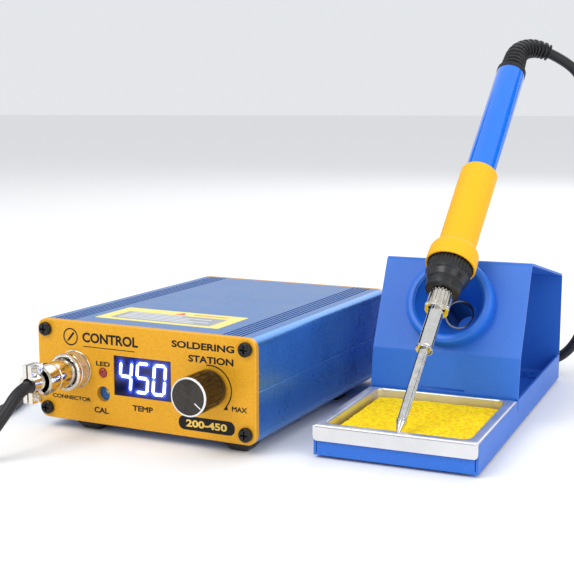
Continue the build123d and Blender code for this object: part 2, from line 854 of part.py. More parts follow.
with BuildPart() as stand_base:
    with BuildSketch(on_stand(base_width / 2, base_length / 2, pad_height)):
        Rectangle(base_width, base_length)
    extrude(amount=sheet)
    with BuildSketch(on_stand(base_width / 2, base_length / 2, pad_height)):
        with GridLocations(base_width - sheet, 1, 2, 1):
            Rectangle(sheet, base_length)
    extrude(amount=wall_height)
    with BuildSketch(on_stand(base_width / 2, sheet / 2, pad_height)):
        Rectangle(flap_width, sheet)
    extrude(amount=wall_height)
    with BuildSketch(on_stand(base_width / 2, plate_y, base_height)):
        Rectangle(2 * base_width, relief_slit[0])
    extrude(amount=-relief_slit[1], mode=Mode.SUBTRACT)
    for spot in stand_screw_spots:
        with BuildSketch(on_stand(*spot, floor_top)):
            Circle(stand_screw_radius)
        extrude(amount=-sheet, mode=Mode.SUBTRACT)
finish(stand_base, "stand_base")

slope_y = top_edge_y - plate_bend_y
slope_z = top_edge_z - plate_bend_z
slope_length = (slope_y**2 + slope_z**2) ** 0.5
ring_share = ring_centre / slope_length
# The ring stands square on the sloping sheet's front.
face_normal = stand.y_dir * (-slope_z / slope_length) + Vector(0, 0, slope_y / slope_length)
ring_origin = stand.from_local_coords(
    (
        base_width / 2,
        plate_bend_y + ring_share * slope_y,
        plate_bend_z + ring_share * slope_z,
    )
)
ring_plane = Plane(
    origin=ring_origin + face_normal * (sheet / 2), x_dir=stand.x_dir, z_dir=face_normal
)
ring_hole = 19.0

with BuildPart() as holder_bracket:
    with BuildSketch(stand_side):
        with BuildLine():
            FilletPolyline(
                (plate_y + foot_length, foot_middle_z),
                (plate_y, foot_middle_z),
                (plate_y, base_height + sheet),
                (plate_bend_y, plate_bend_z),
                (top_edge_y, top_edge_z),
                (bracket_rear, rear_edge_z),
                (bracket_rear, foot_middle_z),
                (bracket_rear - foot_length, foot_middle_z),
                radius=bend_radius,
            )
        trace(line_width=sheet)
    extrude(amount=base_width)
    with BuildSketch(on_stand(base_width / 2, base_length / 2, base_height + 0.5)):
        Rectangle(2 * base_width, 2 * base_length)
        Rectangle(tongue_width, 2 * base_length, mode=Mode.SUBTRACT)
    extrude(amount=-2 * base_height, mode=Mode.SUBTRACT)
    with BuildSketch(ring_plane):
        Circle(ring_hole + slack)
    extrude(amount=-2 * sheet, mode=Mode.SUBTRACT)
    with BuildSketch(on_stand(base_width / 2, plate_y, base_height + 1.6)):
        Rectangle(23.0, 6.0)
    extrude(amount=1.2, mode=Mode.SUBTRACT)
    for spot in stand_screw_spots:
        with BuildSketch(on_stand(*spot, floor_top + sheet)):
            Circle(stand_screw_radius + slack)
        extrude(amount=-sheet, mode=Mode.SUBTRACT)
finish(holder_bracket, "holder_bracket")

with BuildPart() as stand_screws:
    for spot in stand_screw_spots:
        with BuildSketch(on_stand(*spot, floor_top + sheet)):
            Circle(3.0)
        extrude(amount=2.0)
        with BuildSketch(on_stand(*spot, floor_top + sheet)):
            Circle(stand_screw_radius)
        extrude(amount=-(2 * sheet + 0.6))
        with BuildSketch(on_stand(*spot, floor_top + sheet + 2.0)):
            Rectangle(3.6, 0.8)
            Rectangle(0.8, 3.6)
        extrude(amount=-1.0, mode=Mode.SUBTRACT)
finish(stand_screws, "stand_screws")

pad_inset = 9.0
with BuildPart() as stand_pads:
    for x in (pad_inset, base_width - pad_inset):
        for y in (pad_inset, base_length - pad_inset):
            with BuildSketch(on_stand(x, y, 0)):
                Circle(5.0)
            extrude(amount=pad_height)
finish(stand_pads, "stand_pads")

# ---------------------------------------------------------------- holder ring
ring_axis = Axis(ring_plane.origin, ring_plane.z_dir)
# Outlines on this plane read (radius, distance out from the sloping sheet's front).
ring_section = Plane(
    origin=ring_plane.origin,
    x_dir=ring_plane.x_dir,
    z_dir=Vector(ring_plane.x_dir).cross(Vector(ring_plane.z_dir)),
)
holder_radius = holder_diameter / 2
holder_nut_radius = holder_radius - 1.0
mouth_radius = holder_mouth / 2
neck_outer = holder_neck + 2.0
nut_back = -(sheet + 4.0)
revolved(
    ring_section,
    ring_axis,
    [
        (mouth_radius + 1.2, holder_height),
        (holder_radius - 2.0, holder_height),
        (holder_radius - 0.6, holder_height - 0.7),
        (holder_radius, holder_height - 2.2),
        (holder_radius, 0),
        (ring_hole, 0),
        (ring_hole, nut_back - 1.0),
        (neck_outer, -holder_throat - 1.0),
        (neck_outer, -holder_throat - 6.0),
        (holder_neck, -holder_throat - 6.0),
        (holder_neck, -holder_throat),
        (mouth_radius, holder_height - 3.0),
        (mouth_radius, holder_height - 1.2),
    ],
    "holder_ring",
)
revolved(
    ring_section,
    ring_axis,
    [
        (ring_hole, -sheet),
        (holder_nut_radius, -sheet),
        (holder_nut_radius, nut_back),
        (ring_hole, nut_back),
    ],
    "holder_nut",
)
revolved(
    ring_section,
    ring_axis,
    [
        (holder_neck - liner_wall, -holder_throat - 0.5),
        (holder_neck, -holder_throat - 0.5),
        (holder_neck, -holder_throat - liner_length),
        (holder_neck - liner_wall, -holder_throat - liner_length),
    ],
    "holder_liner",
)

# ---------------------------------------------------------------- sponge tray
tray_front = -1.3
skirt_corner = 5.0
tray_back = tray_front + tray_length
pan_left = tray_rim
pan_right = base_width - tray_rim
pan_front = tray_front + tray_front_rim
pan_back = tray_back - 2.2
pan_floor = floor_top + 1.0
pan_width = pan_right - pan_left
pan_length = pan_back - pan_front
pan_middle_y = (pan_front + pan_back) / 2

with BuildPart() as sponge_tray:
    with BuildSketch(on_stand(base_width / 2, (tray_front + tray_back) / 2, base_height)):
        Rectangle(base_width, tray_length)
    extrude(amount=tray_sheet)
    with BuildSketch(on_stand(base_width / 2, pan_middle_y, pan_floor)):
        RectangleRounded(pan_width, pan_length, 4.0)
    extrude(amount=base_height - pan_floor)
    with BuildSketch(on_stand(base_width / 2, pan_middle_y, pan_floor + tray_sheet)):
        RectangleRounded(pan_width - 2 * tray_sheet, pan_length - 2 * tray_sheet, 3.4)
    extrude(amount=base_height, mode=Mode.SUBTRACT)
    skirt = Plane(
        origin=stand.from_local_coords((base_width / 2, tray_front, base_height + tray_sheet)),
        x_dir=stand.x_dir,
        z_dir=-stand.y_dir,
    )
    with BuildSketch(skirt):
        with Locations((0, -skirt_height / 2)):
            Rectangle(base_width, skirt_height)
        fillet(vertices().group_by(Axis.Y)[0], skirt_corner)
    extrude(amount=-tray_sheet)
finish(sponge_tray, "sponge_tray")

sponge_bottom = pan_floor + tray_sheet
with BuildPart() as sponge:
    with BuildSketch(on_stand(base_width / 2, pan_middle_y, sponge_bottom)):
        RectangleRounded(
            pan_width - 2 * (tray_sheet + sponge_clearance),
            pan_length - 2 * (tray_sheet + sponge_clearance),
            3.0,
        )
    extrude(amount=sponge_top - sponge_bottom)
    chamfer(sponge.faces().sort_by(Axis.Z)[-1].edges(), 0.6)
finish(sponge, "sponge")

# ---------------------------------------------------------------- iron
lean = radians(iron_lean)
heading = radians(iron_heading)
tip_end = 0.6  # radius at the very end
tip_height = sponge_top + tip_gap + tip_end * sin(lean)
tip_point = stand.from_local_coords((tip_right, tip_back, tip_height))
iron_direction = (
    stand.x_dir * (sin(lean) * sin(heading))
    + stand.y_dir * (sin(lean) * cos(heading))
    + Vector(0, 0, cos(lean))
)
iron_axis = Axis(tip_point, iron_direction)
iron_side = iron_direction.cross(Vector(0, 0, 1)).normalized()
# Outlines on this plane read (radius, distance from the tip's end).
iron_section = Plane(
    origin=tip_point, x_dir=iron_side, z_dir=iron_side.cross(iron_direction)
)


def across_iron(distance):
    """Plane square to the iron's axis, facing its cord end."""
    return Plane(
        origin=tip_point + iron_direction * distance, x_dir=iron_side, z_dir=iron_direction
    )


tube_bore = tube_radius - tube_wall
nose_radius = collar_nose_radius - fit
nose_start = nut_start + 5.0

with BuildPart() as tip:
    with BuildSketch(iron_section):
        with BuildLine():
            Polyline(
                (0, 0),
                (tip_end, 0),
                (tip_radius, tip_taper),
                (tip_radius, nut_start - 1.0),
                (0, nut_start - 1.0),
                close=True,
            )
        make_face()
    revolve(axis=iron_axis)
    with BuildSketch(iron_section):
        with BuildLine():
            Polyline(
                (-0.1, -0.5), (-0.1, 0), (-3.0, tip_taper + 1.0), (-4.0, -0.5), close=True
            )
        make_face()
    extrude(amount=2 * tip_radius, both=True, mode=Mode.SUBTRACT)
finish(tip, "tip")

revolved(
    iron_section,
    iron_axis,
    [
        (tip_radius, sleeve_start),
        (sleeve_radius - 0.3, sleeve_start),
        (sleeve_radius, sleeve_start + 0.5),
        (sleeve_radius, collar_start),
        (tip_radius, collar_start),
    ],
    "barrel_sleeve",
)
revolved(
    iron_section,
    iron_axis,
    [
        (sleeve_radius, nose_start),
        (nose_radius, nose_start),
        (nose_radius, tube_start + 0.1),
        (tube_bore, tube_start + 0.1),
        (tube_bore, tube_start + 40.0),
        (sleeve_radius, tube_start + 40.0),
    ],
    "heater_socket",
)

with BuildPart() as barrel_nut:
    with BuildSketch(iron_section):
        with BuildLine():
            Polyline(
                (sleeve_radius + fit, nut_start),
                (nut_radius - 1.0, nut_start),
                (nut_radius, nut_start + 1.2),
                (nut_radius, collar_start - 0.3),
                (nose_radius + fit, collar_start - 0.3),
                (nose_radius + fit, nose_start - 0.2),
                (sleeve_radius + fit, nose_start - 0.2),
                close=True,
            )
        make_face()
    revolve(axis=iron_axis)
    with BuildSketch(across_iron(nut_start + 2.0)):
        with PolarLocations(nut_radius + 0.1, 20):
            Circle(0.45)
    extrude(amount=7.0, mode=Mode.SUBTRACT)
finish(barrel_nut, "barrel_nut")

collar_radius = 11.5
collar_ribs = 36
rib_start = collar_start + 10.0
tube_room = tube_radius + fit
with BuildPart() as collar_nut:
    with BuildSketch(iron_section):
        with BuildLine():
            Polyline(
                (collar_nose_radius, collar_start),
                (8.2, collar_start),
                (8.9, collar_start + 0.8),
                (9.3, collar_start + 4.4),
                (9.0, collar_start + 4.7),
                (9.0, collar_start + 5.3),
                (9.5, collar_start + 5.6),
                (10.4, rib_start - 1.2),
                (11.2, rib_start),
                (collar_radius, rib_start + 7.0),
                (collar_radius, collar_end),
                (tube_room, collar_end),
                (tube_room, tube_start - 0.1),
                (collar_nose_radius, tube_start - 0.1),
                close=True,
            )
        make_face()
    revolve(axis=iron_axis)
    with BuildSketch(across_iron(rib_start - 0.4)):
        with PolarLocations(collar_radius + 0.1, collar_ribs):
            Circle(0.45)
    extrude(amount=flange_start - rib_start, mode=Mode.SUBTRACT)
finish(collar_nut, "collar_nut")

flange_width = 9.0
curve_start = flange_start + flange_width
curve_end = curve_start + grip_curve
curve_steps = 10
curve = []
for step in range(curve_steps + 1):
    share = step / curve_steps
    fall = (flange_radius - grip_radius) * (1 + cos(pi * share)) / 2
    curve.append((grip_radius + fall, curve_start + share * (curve_end - curve_start)))
revolved(
    iron_section,
    iron_axis,
    [
        (collar_radius + fit, flange_start),
        (flange_radius - 0.7, flange_start),
        (flange_radius, flange_start + 0.7),
        *curve,
        (grip_radius, grip_end - 0.6),
        (grip_radius - 0.6, grip_end),
        (tube_radius, grip_end),
        (tube_radius, collar_end + 0.2),
        (collar_radius + fit, collar_end + 0.2),
    ],
    "grip_sleeve",
)
revolved(
    iron_section,
    iron_axis,
    [
        (tube_bore, tube_start),
        (tube_radius, tube_start),
        (tube_radius, tube_end - 0.4),
        (tube_radius - 0.4, tube_end),
        (tube_bore, tube_end),
    ],
    "handle_tube",
)

# The strain relief leaves the tube straight, then turns to the right and slightly down.
boot_leg = 31.0
boot_end = 18.0
boot_bend = 17.0
boot_core = 4.3
boot_plug = 18.0
boot_collar = 3.0
boot_rib = 1.5
boot_ribs = 11
boot_first = 7.3  # radius at the tube
boot_collar_radius = 8.3
boot_last = 4.75  # radius at the cord
boot_exit = Vector(0.814, 0.402, -0.419).normalized()
boot_start_point = tip_point + iron_direction * tube_end
boot_corner_point = boot_start_point + iron_direction * boot_leg
boot_end_point = boot_corner_point + boot_exit * boot_end

with BuildPart() as strain_relief:
    with BuildSketch(across_iron(tube_end)):
        Circle(tube_bore)
    extrude(amount=-boot_plug)
    with BuildSketch(across_iron(tube_end)):
        Circle(boot_collar_radius)
    extrude(amount=boot_collar)
    with BuildLine() as boot_path:
        FilletPolyline(
            boot_start_point, boot_corner_point, boot_end_point, radius=boot_bend
        )
    with BuildSketch(across_iron(tube_end)):
        Circle(boot_core)
    sweep(path=boot_path.wires()[0])
    for rib in range(boot_ribs):
        share = (rib + 1) / boot_ribs
        rib_plane = Plane(boot_path.wires()[0] ^ (0.08 + 0.92 * share))
        with BuildSketch(rib_plane):
            Circle(boot_first + (boot_last - boot_first) * share)
        extrude(amount=-boot_rib)
finish(strain_relief, "strain_relief")

# ---------------------------------------------------------------- cord
def from_unit(points):
    """Route points counted from the unit's left front corner on the table."""
    return [Vector(unit_x + x, unit_y + y, z) for x, y, z in points]


def bend_radii(points):
    """One radius for each inner point: each bend takes 0.45 of the shorter run beside it."""
    radii = []
    for before, corner, after in zip(points, points[1:], points[2:]):
        arriving = corner - before
        leaving = after - corner
        half_turn = radians(arriving.get_angle(leaving)) / 2
        radii.append(0.45 * min(arriving.length, leaving.length) / tan(half_turn))
    return radii


def cord_piece(label, points):
    """A round cord through its route points, with a bend at each inner one."""
    radii = bend_radii(points)
    with BuildPart() as piece:
        with BuildLine() as route:
            FilletPolyline(*points, radius=radii)
        path = route.wires()[0]
        with BuildSketch(Plane(origin=points[0], z_dir=points[1] - points[0])):
            Circle(cord_radius)
        sweep(path=path)
    finish(piece, label)
    print(label, "length", round(path.length, 1), "radii", [round(r) for r in radii])
    return piece


cord_rest = cord_radius + 0.05  # height of the cord's middle on the table
tie_top = tie_thickness
coil_low = tie_top + cord_radius
coil_high = coil_low + (coil_layers - 1) * cord_diameter
socket_height = case_base + socket_spot[1]
lead_points = from_unit(
    [
        (socket_spot[0], -30, socket_height),
        (socket_spot[0], -47, socket_height),
        (21, -58, 23.5),
        (14, -67, 12.5),
        (2, -74, 5.4),
        (-13, -74, cord_rest),
        (-26, -64, cord_rest),
        (-31, -48, cord_rest),
        (-30, -28, cord_rest),
        (-27, -8, cord_rest),
        (-30, 13, cord_rest),
        (-40, 36, cord_rest),
        (-53, 60, cord_rest),
        (-65, 85, cord_rest),
        (-75, 110, cord_rest),
        (-76, 136, cord_rest),
        (-61, 158, cord_rest),
        (-35, 171, cord_rest),
        (-5, 177, cord_rest),
        (28, 177, coil_low - 0.4),
        (coil_centre[0], coil_centre[1] - coil_radius, coil_low),
    ]
)
tail_points = from_unit(
    [
        (coil_centre[0], coil_centre[1] - coil_radius, coil_high),
        (84, 177, 13.6),
        (104, 185, 6.4),
        (118, 202, cord_rest),
        (128, 221, cord_rest),
        (145, 235, cord_rest),
        (168, 240, cord_rest),
        (192, 239, cord_rest),
        (213, 238, 8),
        (225, 239, 26),
        (229, 240, 52),
        (231, 241, 86),
        (230, 242, 122),
        (227, 241, 152),
        (220, 239, 176),
    ]
)
tail_points.append(boot_end_point + boot_exit * 14.0)
tail_points.append(boot_end_point)

cord_piece("cord_lead", lead_points)
cord_piece("cord_tail", tail_points)

coil_x = unit_x + coil_centre[0]
coil_y = unit_y + coil_centre[1]
with BuildPart() as cord_coil:
    with BuildSketch(Plane(origin=(coil_x, coil_y, coil_low - cord_radius))):
        Circle(coil_radius + cord_radius)
        Circle(coil_radius - cord_radius, mode=Mode.SUBTRACT)
    extrude(amount=coil_layers * cord_diameter)
    fillet(cord_coil.edges().filter_by(GeomType.CIRCLE), cord_radius - 0.2)
finish(cord_coil, "cord_coil")

# The tie is a flat strap round the stack, on the coil's far side.
stack_height = coil_layers * cord_diameter
tie_room = 0.8  # the stack curves under the strap
strap = Plane(
    origin=(coil_x, coil_y + coil_radius, tie_top + stack_height / 2),
    x_dir=(0, 1, 0),
    z_dir=(1, 0, 0),
)
with BuildPart() as coil_tie:
    with BuildSketch(strap):
        RectangleRounded(
            cord_diameter + 2 * (tie_room + tie_thickness),
            stack_height + 2 * tie_thickness,
            2.5,
        )
        Rectangle(cord_diameter + 2 * tie_room, stack_height, mode=Mode.SUBTRACT)
    extrude(amount=tie_width / 2, both=True)
finish(coil_tie, "coil_tie")
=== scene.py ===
"""A bench soldering station: a control unit, a sheet-metal stand, an iron leaning on it, and the cord.

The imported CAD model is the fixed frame. Pieces whose shape matters close up are made again here as
surfaces, and the others keep their CAD shape and get a finish. Lengths are in metres, and MM turns
a length in millimetres into metres.
"""

# %% [markdown]
# # 1. The frame
# A bench station is mostly bought parts and bent sheet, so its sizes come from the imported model.
# Everything below is placed from that model: the front panel's corner is where the control unit is
# counted from, and the joint of the iron's nut gives the line that the whole iron is turned round.

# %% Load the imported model
import contextlib
import json
import math

import bmesh
import bpy
import numpy as np
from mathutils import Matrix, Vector


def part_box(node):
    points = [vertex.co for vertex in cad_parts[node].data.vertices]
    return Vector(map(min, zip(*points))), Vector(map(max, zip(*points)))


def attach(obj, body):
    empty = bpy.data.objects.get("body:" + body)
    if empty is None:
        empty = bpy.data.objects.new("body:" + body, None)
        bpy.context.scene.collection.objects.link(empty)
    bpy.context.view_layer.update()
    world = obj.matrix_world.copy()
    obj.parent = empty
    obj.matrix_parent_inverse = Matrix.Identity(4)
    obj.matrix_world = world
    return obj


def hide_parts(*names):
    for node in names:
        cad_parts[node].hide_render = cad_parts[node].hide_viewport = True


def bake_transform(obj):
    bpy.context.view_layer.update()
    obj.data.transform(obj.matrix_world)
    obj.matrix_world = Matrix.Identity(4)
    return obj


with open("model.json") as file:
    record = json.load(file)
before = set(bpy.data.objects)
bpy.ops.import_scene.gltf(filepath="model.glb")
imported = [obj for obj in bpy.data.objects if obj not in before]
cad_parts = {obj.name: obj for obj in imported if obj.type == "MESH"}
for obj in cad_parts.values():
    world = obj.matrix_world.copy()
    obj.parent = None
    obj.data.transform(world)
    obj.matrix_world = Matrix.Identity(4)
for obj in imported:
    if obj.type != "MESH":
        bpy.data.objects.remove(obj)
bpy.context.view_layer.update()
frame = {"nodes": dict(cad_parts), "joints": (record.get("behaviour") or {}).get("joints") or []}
MM = 0.001

panel_low, panel_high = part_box("front_panel")
unit_corner = np.array([panel_low.x, panel_low.y, 0.0])
case_base = panel_low.z / MM
case_width = (panel_high.x - panel_low.x) / MM
case_height = (panel_high.z - panel_low.z) / MM
joints = {joint["name"]: joint for joint in frame["joints"]}


def on_unit(x, y, z):
    """A point in millimetres from the unit's left front corner on the table, in metres."""
    return unit_corner + MM * np.array([x, y, z], float)


def on_front(spot, back=0.0):
    """A spot on the unit's front, across and up in millimetres, and a distance back into it."""
    return on_unit(spot[0], back, case_base + spot[1])


socket_spot, knob_spot, lamp_spot, window_spot = (23.5, 27.0), (100.5, 25.5), (39.5, 26.5), (62.5, 26.0)
print("unit corner", unit_corner, "case", round(case_width, 1), "x", round(case_height, 1))

# %% [markdown]
# # 2. Camera, light and floor
# A product picture of this kind is taken a little above the table, from the right of the unit's
# front, with a long lens. The floor and the world are pale, and large area lights
# give metal something soft and wide to reflect. A small bright lamp would leave hard dots on the
# chrome and a hard shadow under the stand, so there is none.

# %% Camera
def show(name, data):
    """An object at the origin for some data, linked into the scene."""
    thing = bpy.data.objects.new(name, data)
    bpy.context.scene.collection.objects.link(thing)
    return thing


camera_place = on_unit(361.08, -445.82, 159.28)
camera_heading = Vector((-0.4426, 0.8967, 0.0)).normalized()
camera_pitch = math.radians(-8.897)
camera_look = camera_heading * math.cos(camera_pitch) + Vector((0, 0, math.sin(camera_pitch)))
camera_data = bpy.data.cameras.new("camera")
camera_data.lens = 70.41
camera_data.sensor_width = 36.0
camera = show("camera", camera_data)
camera.location = camera_place
camera.rotation_euler = camera_look.to_track_quat("-Z", "Y").to_euler()
bpy.context.scene.camera = camera
print("camera at", camera_place.round(3))

# %% Lights and floor
scene_middle = Vector((0.0, 0.0, 0.06))
square = np.array([(-1, -1, 0), (1, -1, 0), (1, 1, 0), (-1, 1, 0)], float)


def turn_to_middle(place):
    """The turn that points the -Z of something at a place to the middle of the scene."""
    return (scene_middle - Vector(place)).to_track_quat("-Z", "Y")


def area_light(name, place, size, power):
    """A square soft light turned to the middle, in metres and watts."""
    data = bpy.data.lights.new(name, "AREA")
    data.shape = "SQUARE"
    data.size = size
    data.energy = power
    light = show(name, data)
    light.location = place
    light.rotation_euler = turn_to_middle(place).to_euler()


def stage_sheet(name, corners):
    """One flat face that belongs to the studio, not to the object."""
    mesh = bpy.data.meshes.new(name)
    mesh.from_pydata(corners.tolist(), [], [(0, 1, 2, 3)])
    sheet = show(name, mesh)
    return sheet


def dark_card(name, place, width, height=1.2):
    """A dark card that only reflections see, so that bright metal shows edges and stripes."""
    turn = np.array(turn_to_middle(place).to_matrix()).T
    card = stage_sheet(name, square * (width / 2, height / 2, 0) @ turn + np.array(place))
    for sight in ("visible_camera", "visible_diffuse", "visible_shadow", "visible_transmission"):
        setattr(card, sight, False)
    return card


area_light("key", (-0.5, -1.1, 1.3), 1.0, 13.0)
area_light("fill", (1.3, -0.5, 0.7), 1.0, 6.0)
area_light("back", (0.2, 1.4, 1.2), 1.4, 10.0)
cards = [
    dark_card("card_left", (-0.55, -1.0, 0.35), 0.42),
    dark_card("card_right", (1.2, -0.1, 0.35), 0.50),
    dark_card("card_over_lens", (0.12, -1.15, 0.95), 0.22, 1.1),
    dark_card("card_back_left", (-1.0, 0.55, 0.35), 0.45),
    dark_card("card_back_right", (0.95, 0.9, 0.35), 0.40),
]

world = bpy.data.worlds.new("studio")
world.use_nodes = True
world_back = world.node_tree.nodes["Background"]
world_back.inputs["Color"].default_value = (0.95, 0.97, 1.0, 1.0)
world_back.inputs["Strength"].default_value = 0.82
bpy.context.scene.world = world
bpy.context.scene.view_settings.view_transform = "Standard"

floor_reach, floor_drop = 40.0, 0.0004
floor = stage_sheet("floor", square * floor_reach - (0, 0, floor_drop))
print("floor, three lights and", len(cards), "reflection cards")

# %% [markdown]
# # 3. The cord
# The iron hangs on a thin silicone cord, limp and matt. It leaves the plug, drops to the table,
# runs back past the unit, is wound into a tied coil and then climbs to the iron's strain relief.
# A NURBS curve is the right tool: its points are control points that pull the line, so a few of
# them give a smooth cord. The same points lead the tube in the CAD model. The coil's turns are
# more points of the same curve, worked out by a formula.

# %% Cord route
cord_diameter = 6.0
cord_rest = cord_diameter / 2 + 0.05
coil_middle = (62.0, 209.0)
coil_radius = 33.0
coil_turns = 2
coil_steps = 16
coil_low = 4.2
socket_height = case_base + socket_spot[1]

lead_points = [
    (23.5, -30, socket_height), (23.5, -43, socket_height - 0.5), (22, -53, 21), (17, -62, 9.5),
    (8, -70, 4), (-10, -74, cord_rest), (-26, -64, cord_rest), (-31, -48, cord_rest),
    (-30, -28, cord_rest), (-27, -8, cord_rest), (-30, 13, cord_rest), (-40, 36, cord_rest),
    (-53, 60, cord_rest), (-65, 85, cord_rest), (-75, 110, cord_rest), (-76, 136, cord_rest),
    (-61, 158, cord_rest), (-35, 171, cord_rest), (-5, 177, cord_rest), (28, 177, coil_low - 0.4),
]
tail_points = [
    (84, 177, 13.6), (104, 185, 6.4), (118, 202, cord_rest), (128, 221, cord_rest),
    (145, 235, cord_rest), (168, 240, cord_rest), (192, 239, cord_rest), (213, 238, 8),
    (225, 239, 26), (229, 240, 52), (231, 241, 86), (230, 242, 122), (227, 241, 152),
    (220, 239, 176),
]

# The iron's own line: the nut's joint lies on it, this far from the tip's end.
nut_distance = 78.0
iron_axis = np.array(joints["barrel_nut_turn"]["axis"], float)
iron_axis /= np.linalg.norm(iron_axis)
iron_tip = np.array(joints["barrel_nut_turn"]["pos_m"], float) - nut_distance * MM * iron_axis
iron_side = np.cross(iron_axis, (0, 0, 1))
iron_side /= np.linalg.norm(iron_side)
boot_exit = np.array((0.814, 0.402, -0.419))
boot_exit /= np.linalg.norm(boot_exit)
tube_end = 243.8
boot_leg = 31.0
boot_end = 18.0
boot_corner_place = iron_tip + (tube_end + boot_leg) * MM * iron_axis
cord_end = boot_corner_place + boot_end * MM * boot_exit


def places_of(mesh):
    """A mesh's points, as rows of x, y and z."""
    places = np.empty(len(mesh.vertices) * 3)
    mesh.vertices.foreach_get("co", places)
    return places.reshape(-1, 3)


def lengths_along(points):
    """The length of a path from its start to each of its points."""
    return np.concatenate([[0.0], np.cumsum(np.linalg.norm(np.diff(points, axis=0), axis=1))])


def without_repeats(points, least):
    """A path less each point that is no further than the least distance from the one before."""
    return points[np.concatenate([[True], np.linalg.norm(np.diff(points, axis=0), axis=1) > least])]


def coil_points():
    """Points of the tied coil. Each is the middle plus the radius turned by an angle that grows
    evenly from the coil's south point, and it rises by one cord diameter a turn."""
    share = np.arange(coil_turns * coil_steps + 1) / coil_steps
    angle = 2 * np.pi * share - np.pi / 2
    across = coil_middle[0] + coil_radius * np.cos(angle)
    back = coil_middle[1] + coil_radius * np.sin(angle)
    return np.stack([across, back, coil_low + cord_diameter * share], axis=1)


boot_lead = 14.0
cord_route = [on_unit(*point) for point in (*lead_points, *coil_points(), *tail_points)]
cord_route += [cord_end + boot_lead * MM * boot_exit, cord_end]

cord_curve = bpy.data.curves.new("cord_line", "CURVE")
cord_curve.dimensions = "3D"
cord_spline = cord_curve.splines.new("NURBS")
cord_spline.points.add(len(cord_route) - 1)
for point, place in zip(cord_spline.points, cord_route):
    point.co = (*place, 1.0)
cord_spline.order_u = 3
cord_spline.use_endpoint_u = True
cord_spline.resolution_u = 8
cord_line_object = show("cord_line", cord_curve)
bpy.context.view_layer.update()
cord_path = places_of(bpy.data.meshes.new_from_object(cord_line_object))
bpy.data.objects.remove(cord_line_object)

# %% [markdown]
# # 4. Surfaces from arrays
# Most close-up pieces are turned, drawn or moulded, so each is a grid of points: one way round it
# and one way along it. Two helpers cover nearly all of them. A turned piece spins a profile round
# a line, and a drawn one carries a ring of points along a path. A relief, such as knurling, is a
# change of radius worked out for the whole grid at once, so it is true geometry.


# %% Grids to pieces
def make_piece(name, mesh, finish, body, replaces=(), crease=35.0):
    """Links a mesh as a piece: smooth faces with sharp edges past an angle, a finish and a body."""
    mesh.shade_smooth()
    mesh.set_sharp_from_angle(angle=math.radians(crease))
    mesh.materials.append(finish)
    piece = show(name, mesh)
    if body:
        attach(piece, body)
    if replaces:
        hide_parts(*replaces)
    return piece


@contextlib.contextmanager
def edited(mesh):
    """Opens a mesh for bmesh steps. Closing it turns the faces outwards and writes it back."""
    shape = bmesh.new()
    shape.from_mesh(mesh)
    yield shape
    bmesh.ops.recalc_face_normals(shape, faces=shape.faces)
    shape.to_mesh(mesh)
    shape.free()


def fill_holes(shape, wanted=lambda edge: True):
    """Closes each open loop of wanted edges with one flat face."""
    open_edges = [edge for edge in shape.edges if edge.is_boundary and wanted(edge)]
    bmesh.ops.holes_fill(shape, edges=open_edges, sides=0)


def grid_mesh(name, points, wrap_round=True, caps=False):
    """A mesh from a grid of points, rows along the piece and columns round it.

    Face i, j joins points i, j to i + 1, j + 1. The UV map is metres along and metres round.
    caps closes each open end with one flat face."""
    rows, columns = points.shape[:2]
    i, j = np.meshgrid(np.arange(rows - 1), np.arange(columns - (not wrap_round)), indexing="ij")
    i, j = i.ravel(), j.ravel()
    i_next, j_next = i + 1, j + 1
    corner_rows = np.stack([i, i, i_next, i_next], axis=1)
    corner_columns = np.stack([j, j_next, j_next, j], axis=1)
    faces = corner_rows * columns + corner_columns % columns
    mesh = bpy.data.meshes.new(name)
    mesh.from_pydata(points.reshape(-1, 3).tolist(), [], faces.tolist())
    step_along = np.linalg.norm(np.diff(points, axis=0), axis=2).mean(axis=1)
    along = np.concatenate([[0.0], np.cumsum(step_along)])
    step_round = np.linalg.norm(np.diff(points, axis=1), axis=2).max(axis=0)
    round_it = np.concatenate([[0.0], np.cumsum(step_round), [step_round.sum()]])
    if wrap_round:
        round_it[-1] += step_round[-1]
    uv = np.stack([along[corner_rows], round_it[corner_columns]], axis=2)
    layer = mesh.uv_layers.new(name="surface")
    layer.data.foreach_set("uv", uv.ravel())
    with edited(mesh) as shape:
        bmesh.ops.remove_doubles(shape, verts=shape.verts, dist=1e-7)
        if caps:
            fill_holes(shape)
    return mesh


def rounded(corners, steps=5):
    """A profile from (distance, radius, rounding) corners in millimetres.

    A corner with a rounding is swapped for a curve that starts and ends that far from it:
    (1 - s)^2 start + 2 s (1 - s) corner + s^2 end, for s from 0 to 1."""
    corners = np.array(corners, float)
    places = corners[:, :2]
    out = [places[:1]]
    for before, here, after, size in zip(places, places[1:], places[2:], corners[1:, 2]):
        back, ahead = before - here, after - here
        reach_back, reach_ahead = np.linalg.norm(back), np.linalg.norm(ahead)
        reach = min(size, 0.48 * reach_back, 0.48 * reach_ahead)
        if reach < 1e-6:
            out.append(here[None])
            continue
        start, end = here + back * reach / reach_back, here + ahead * reach / reach_ahead
        s = np.linspace(0, 1, steps)[:, None]
        out.append((1 - s) ** 2 * start + 2 * s * (1 - s) * here + s**2 * end)
    out.append(places[-1:])
    return np.concatenate(out)


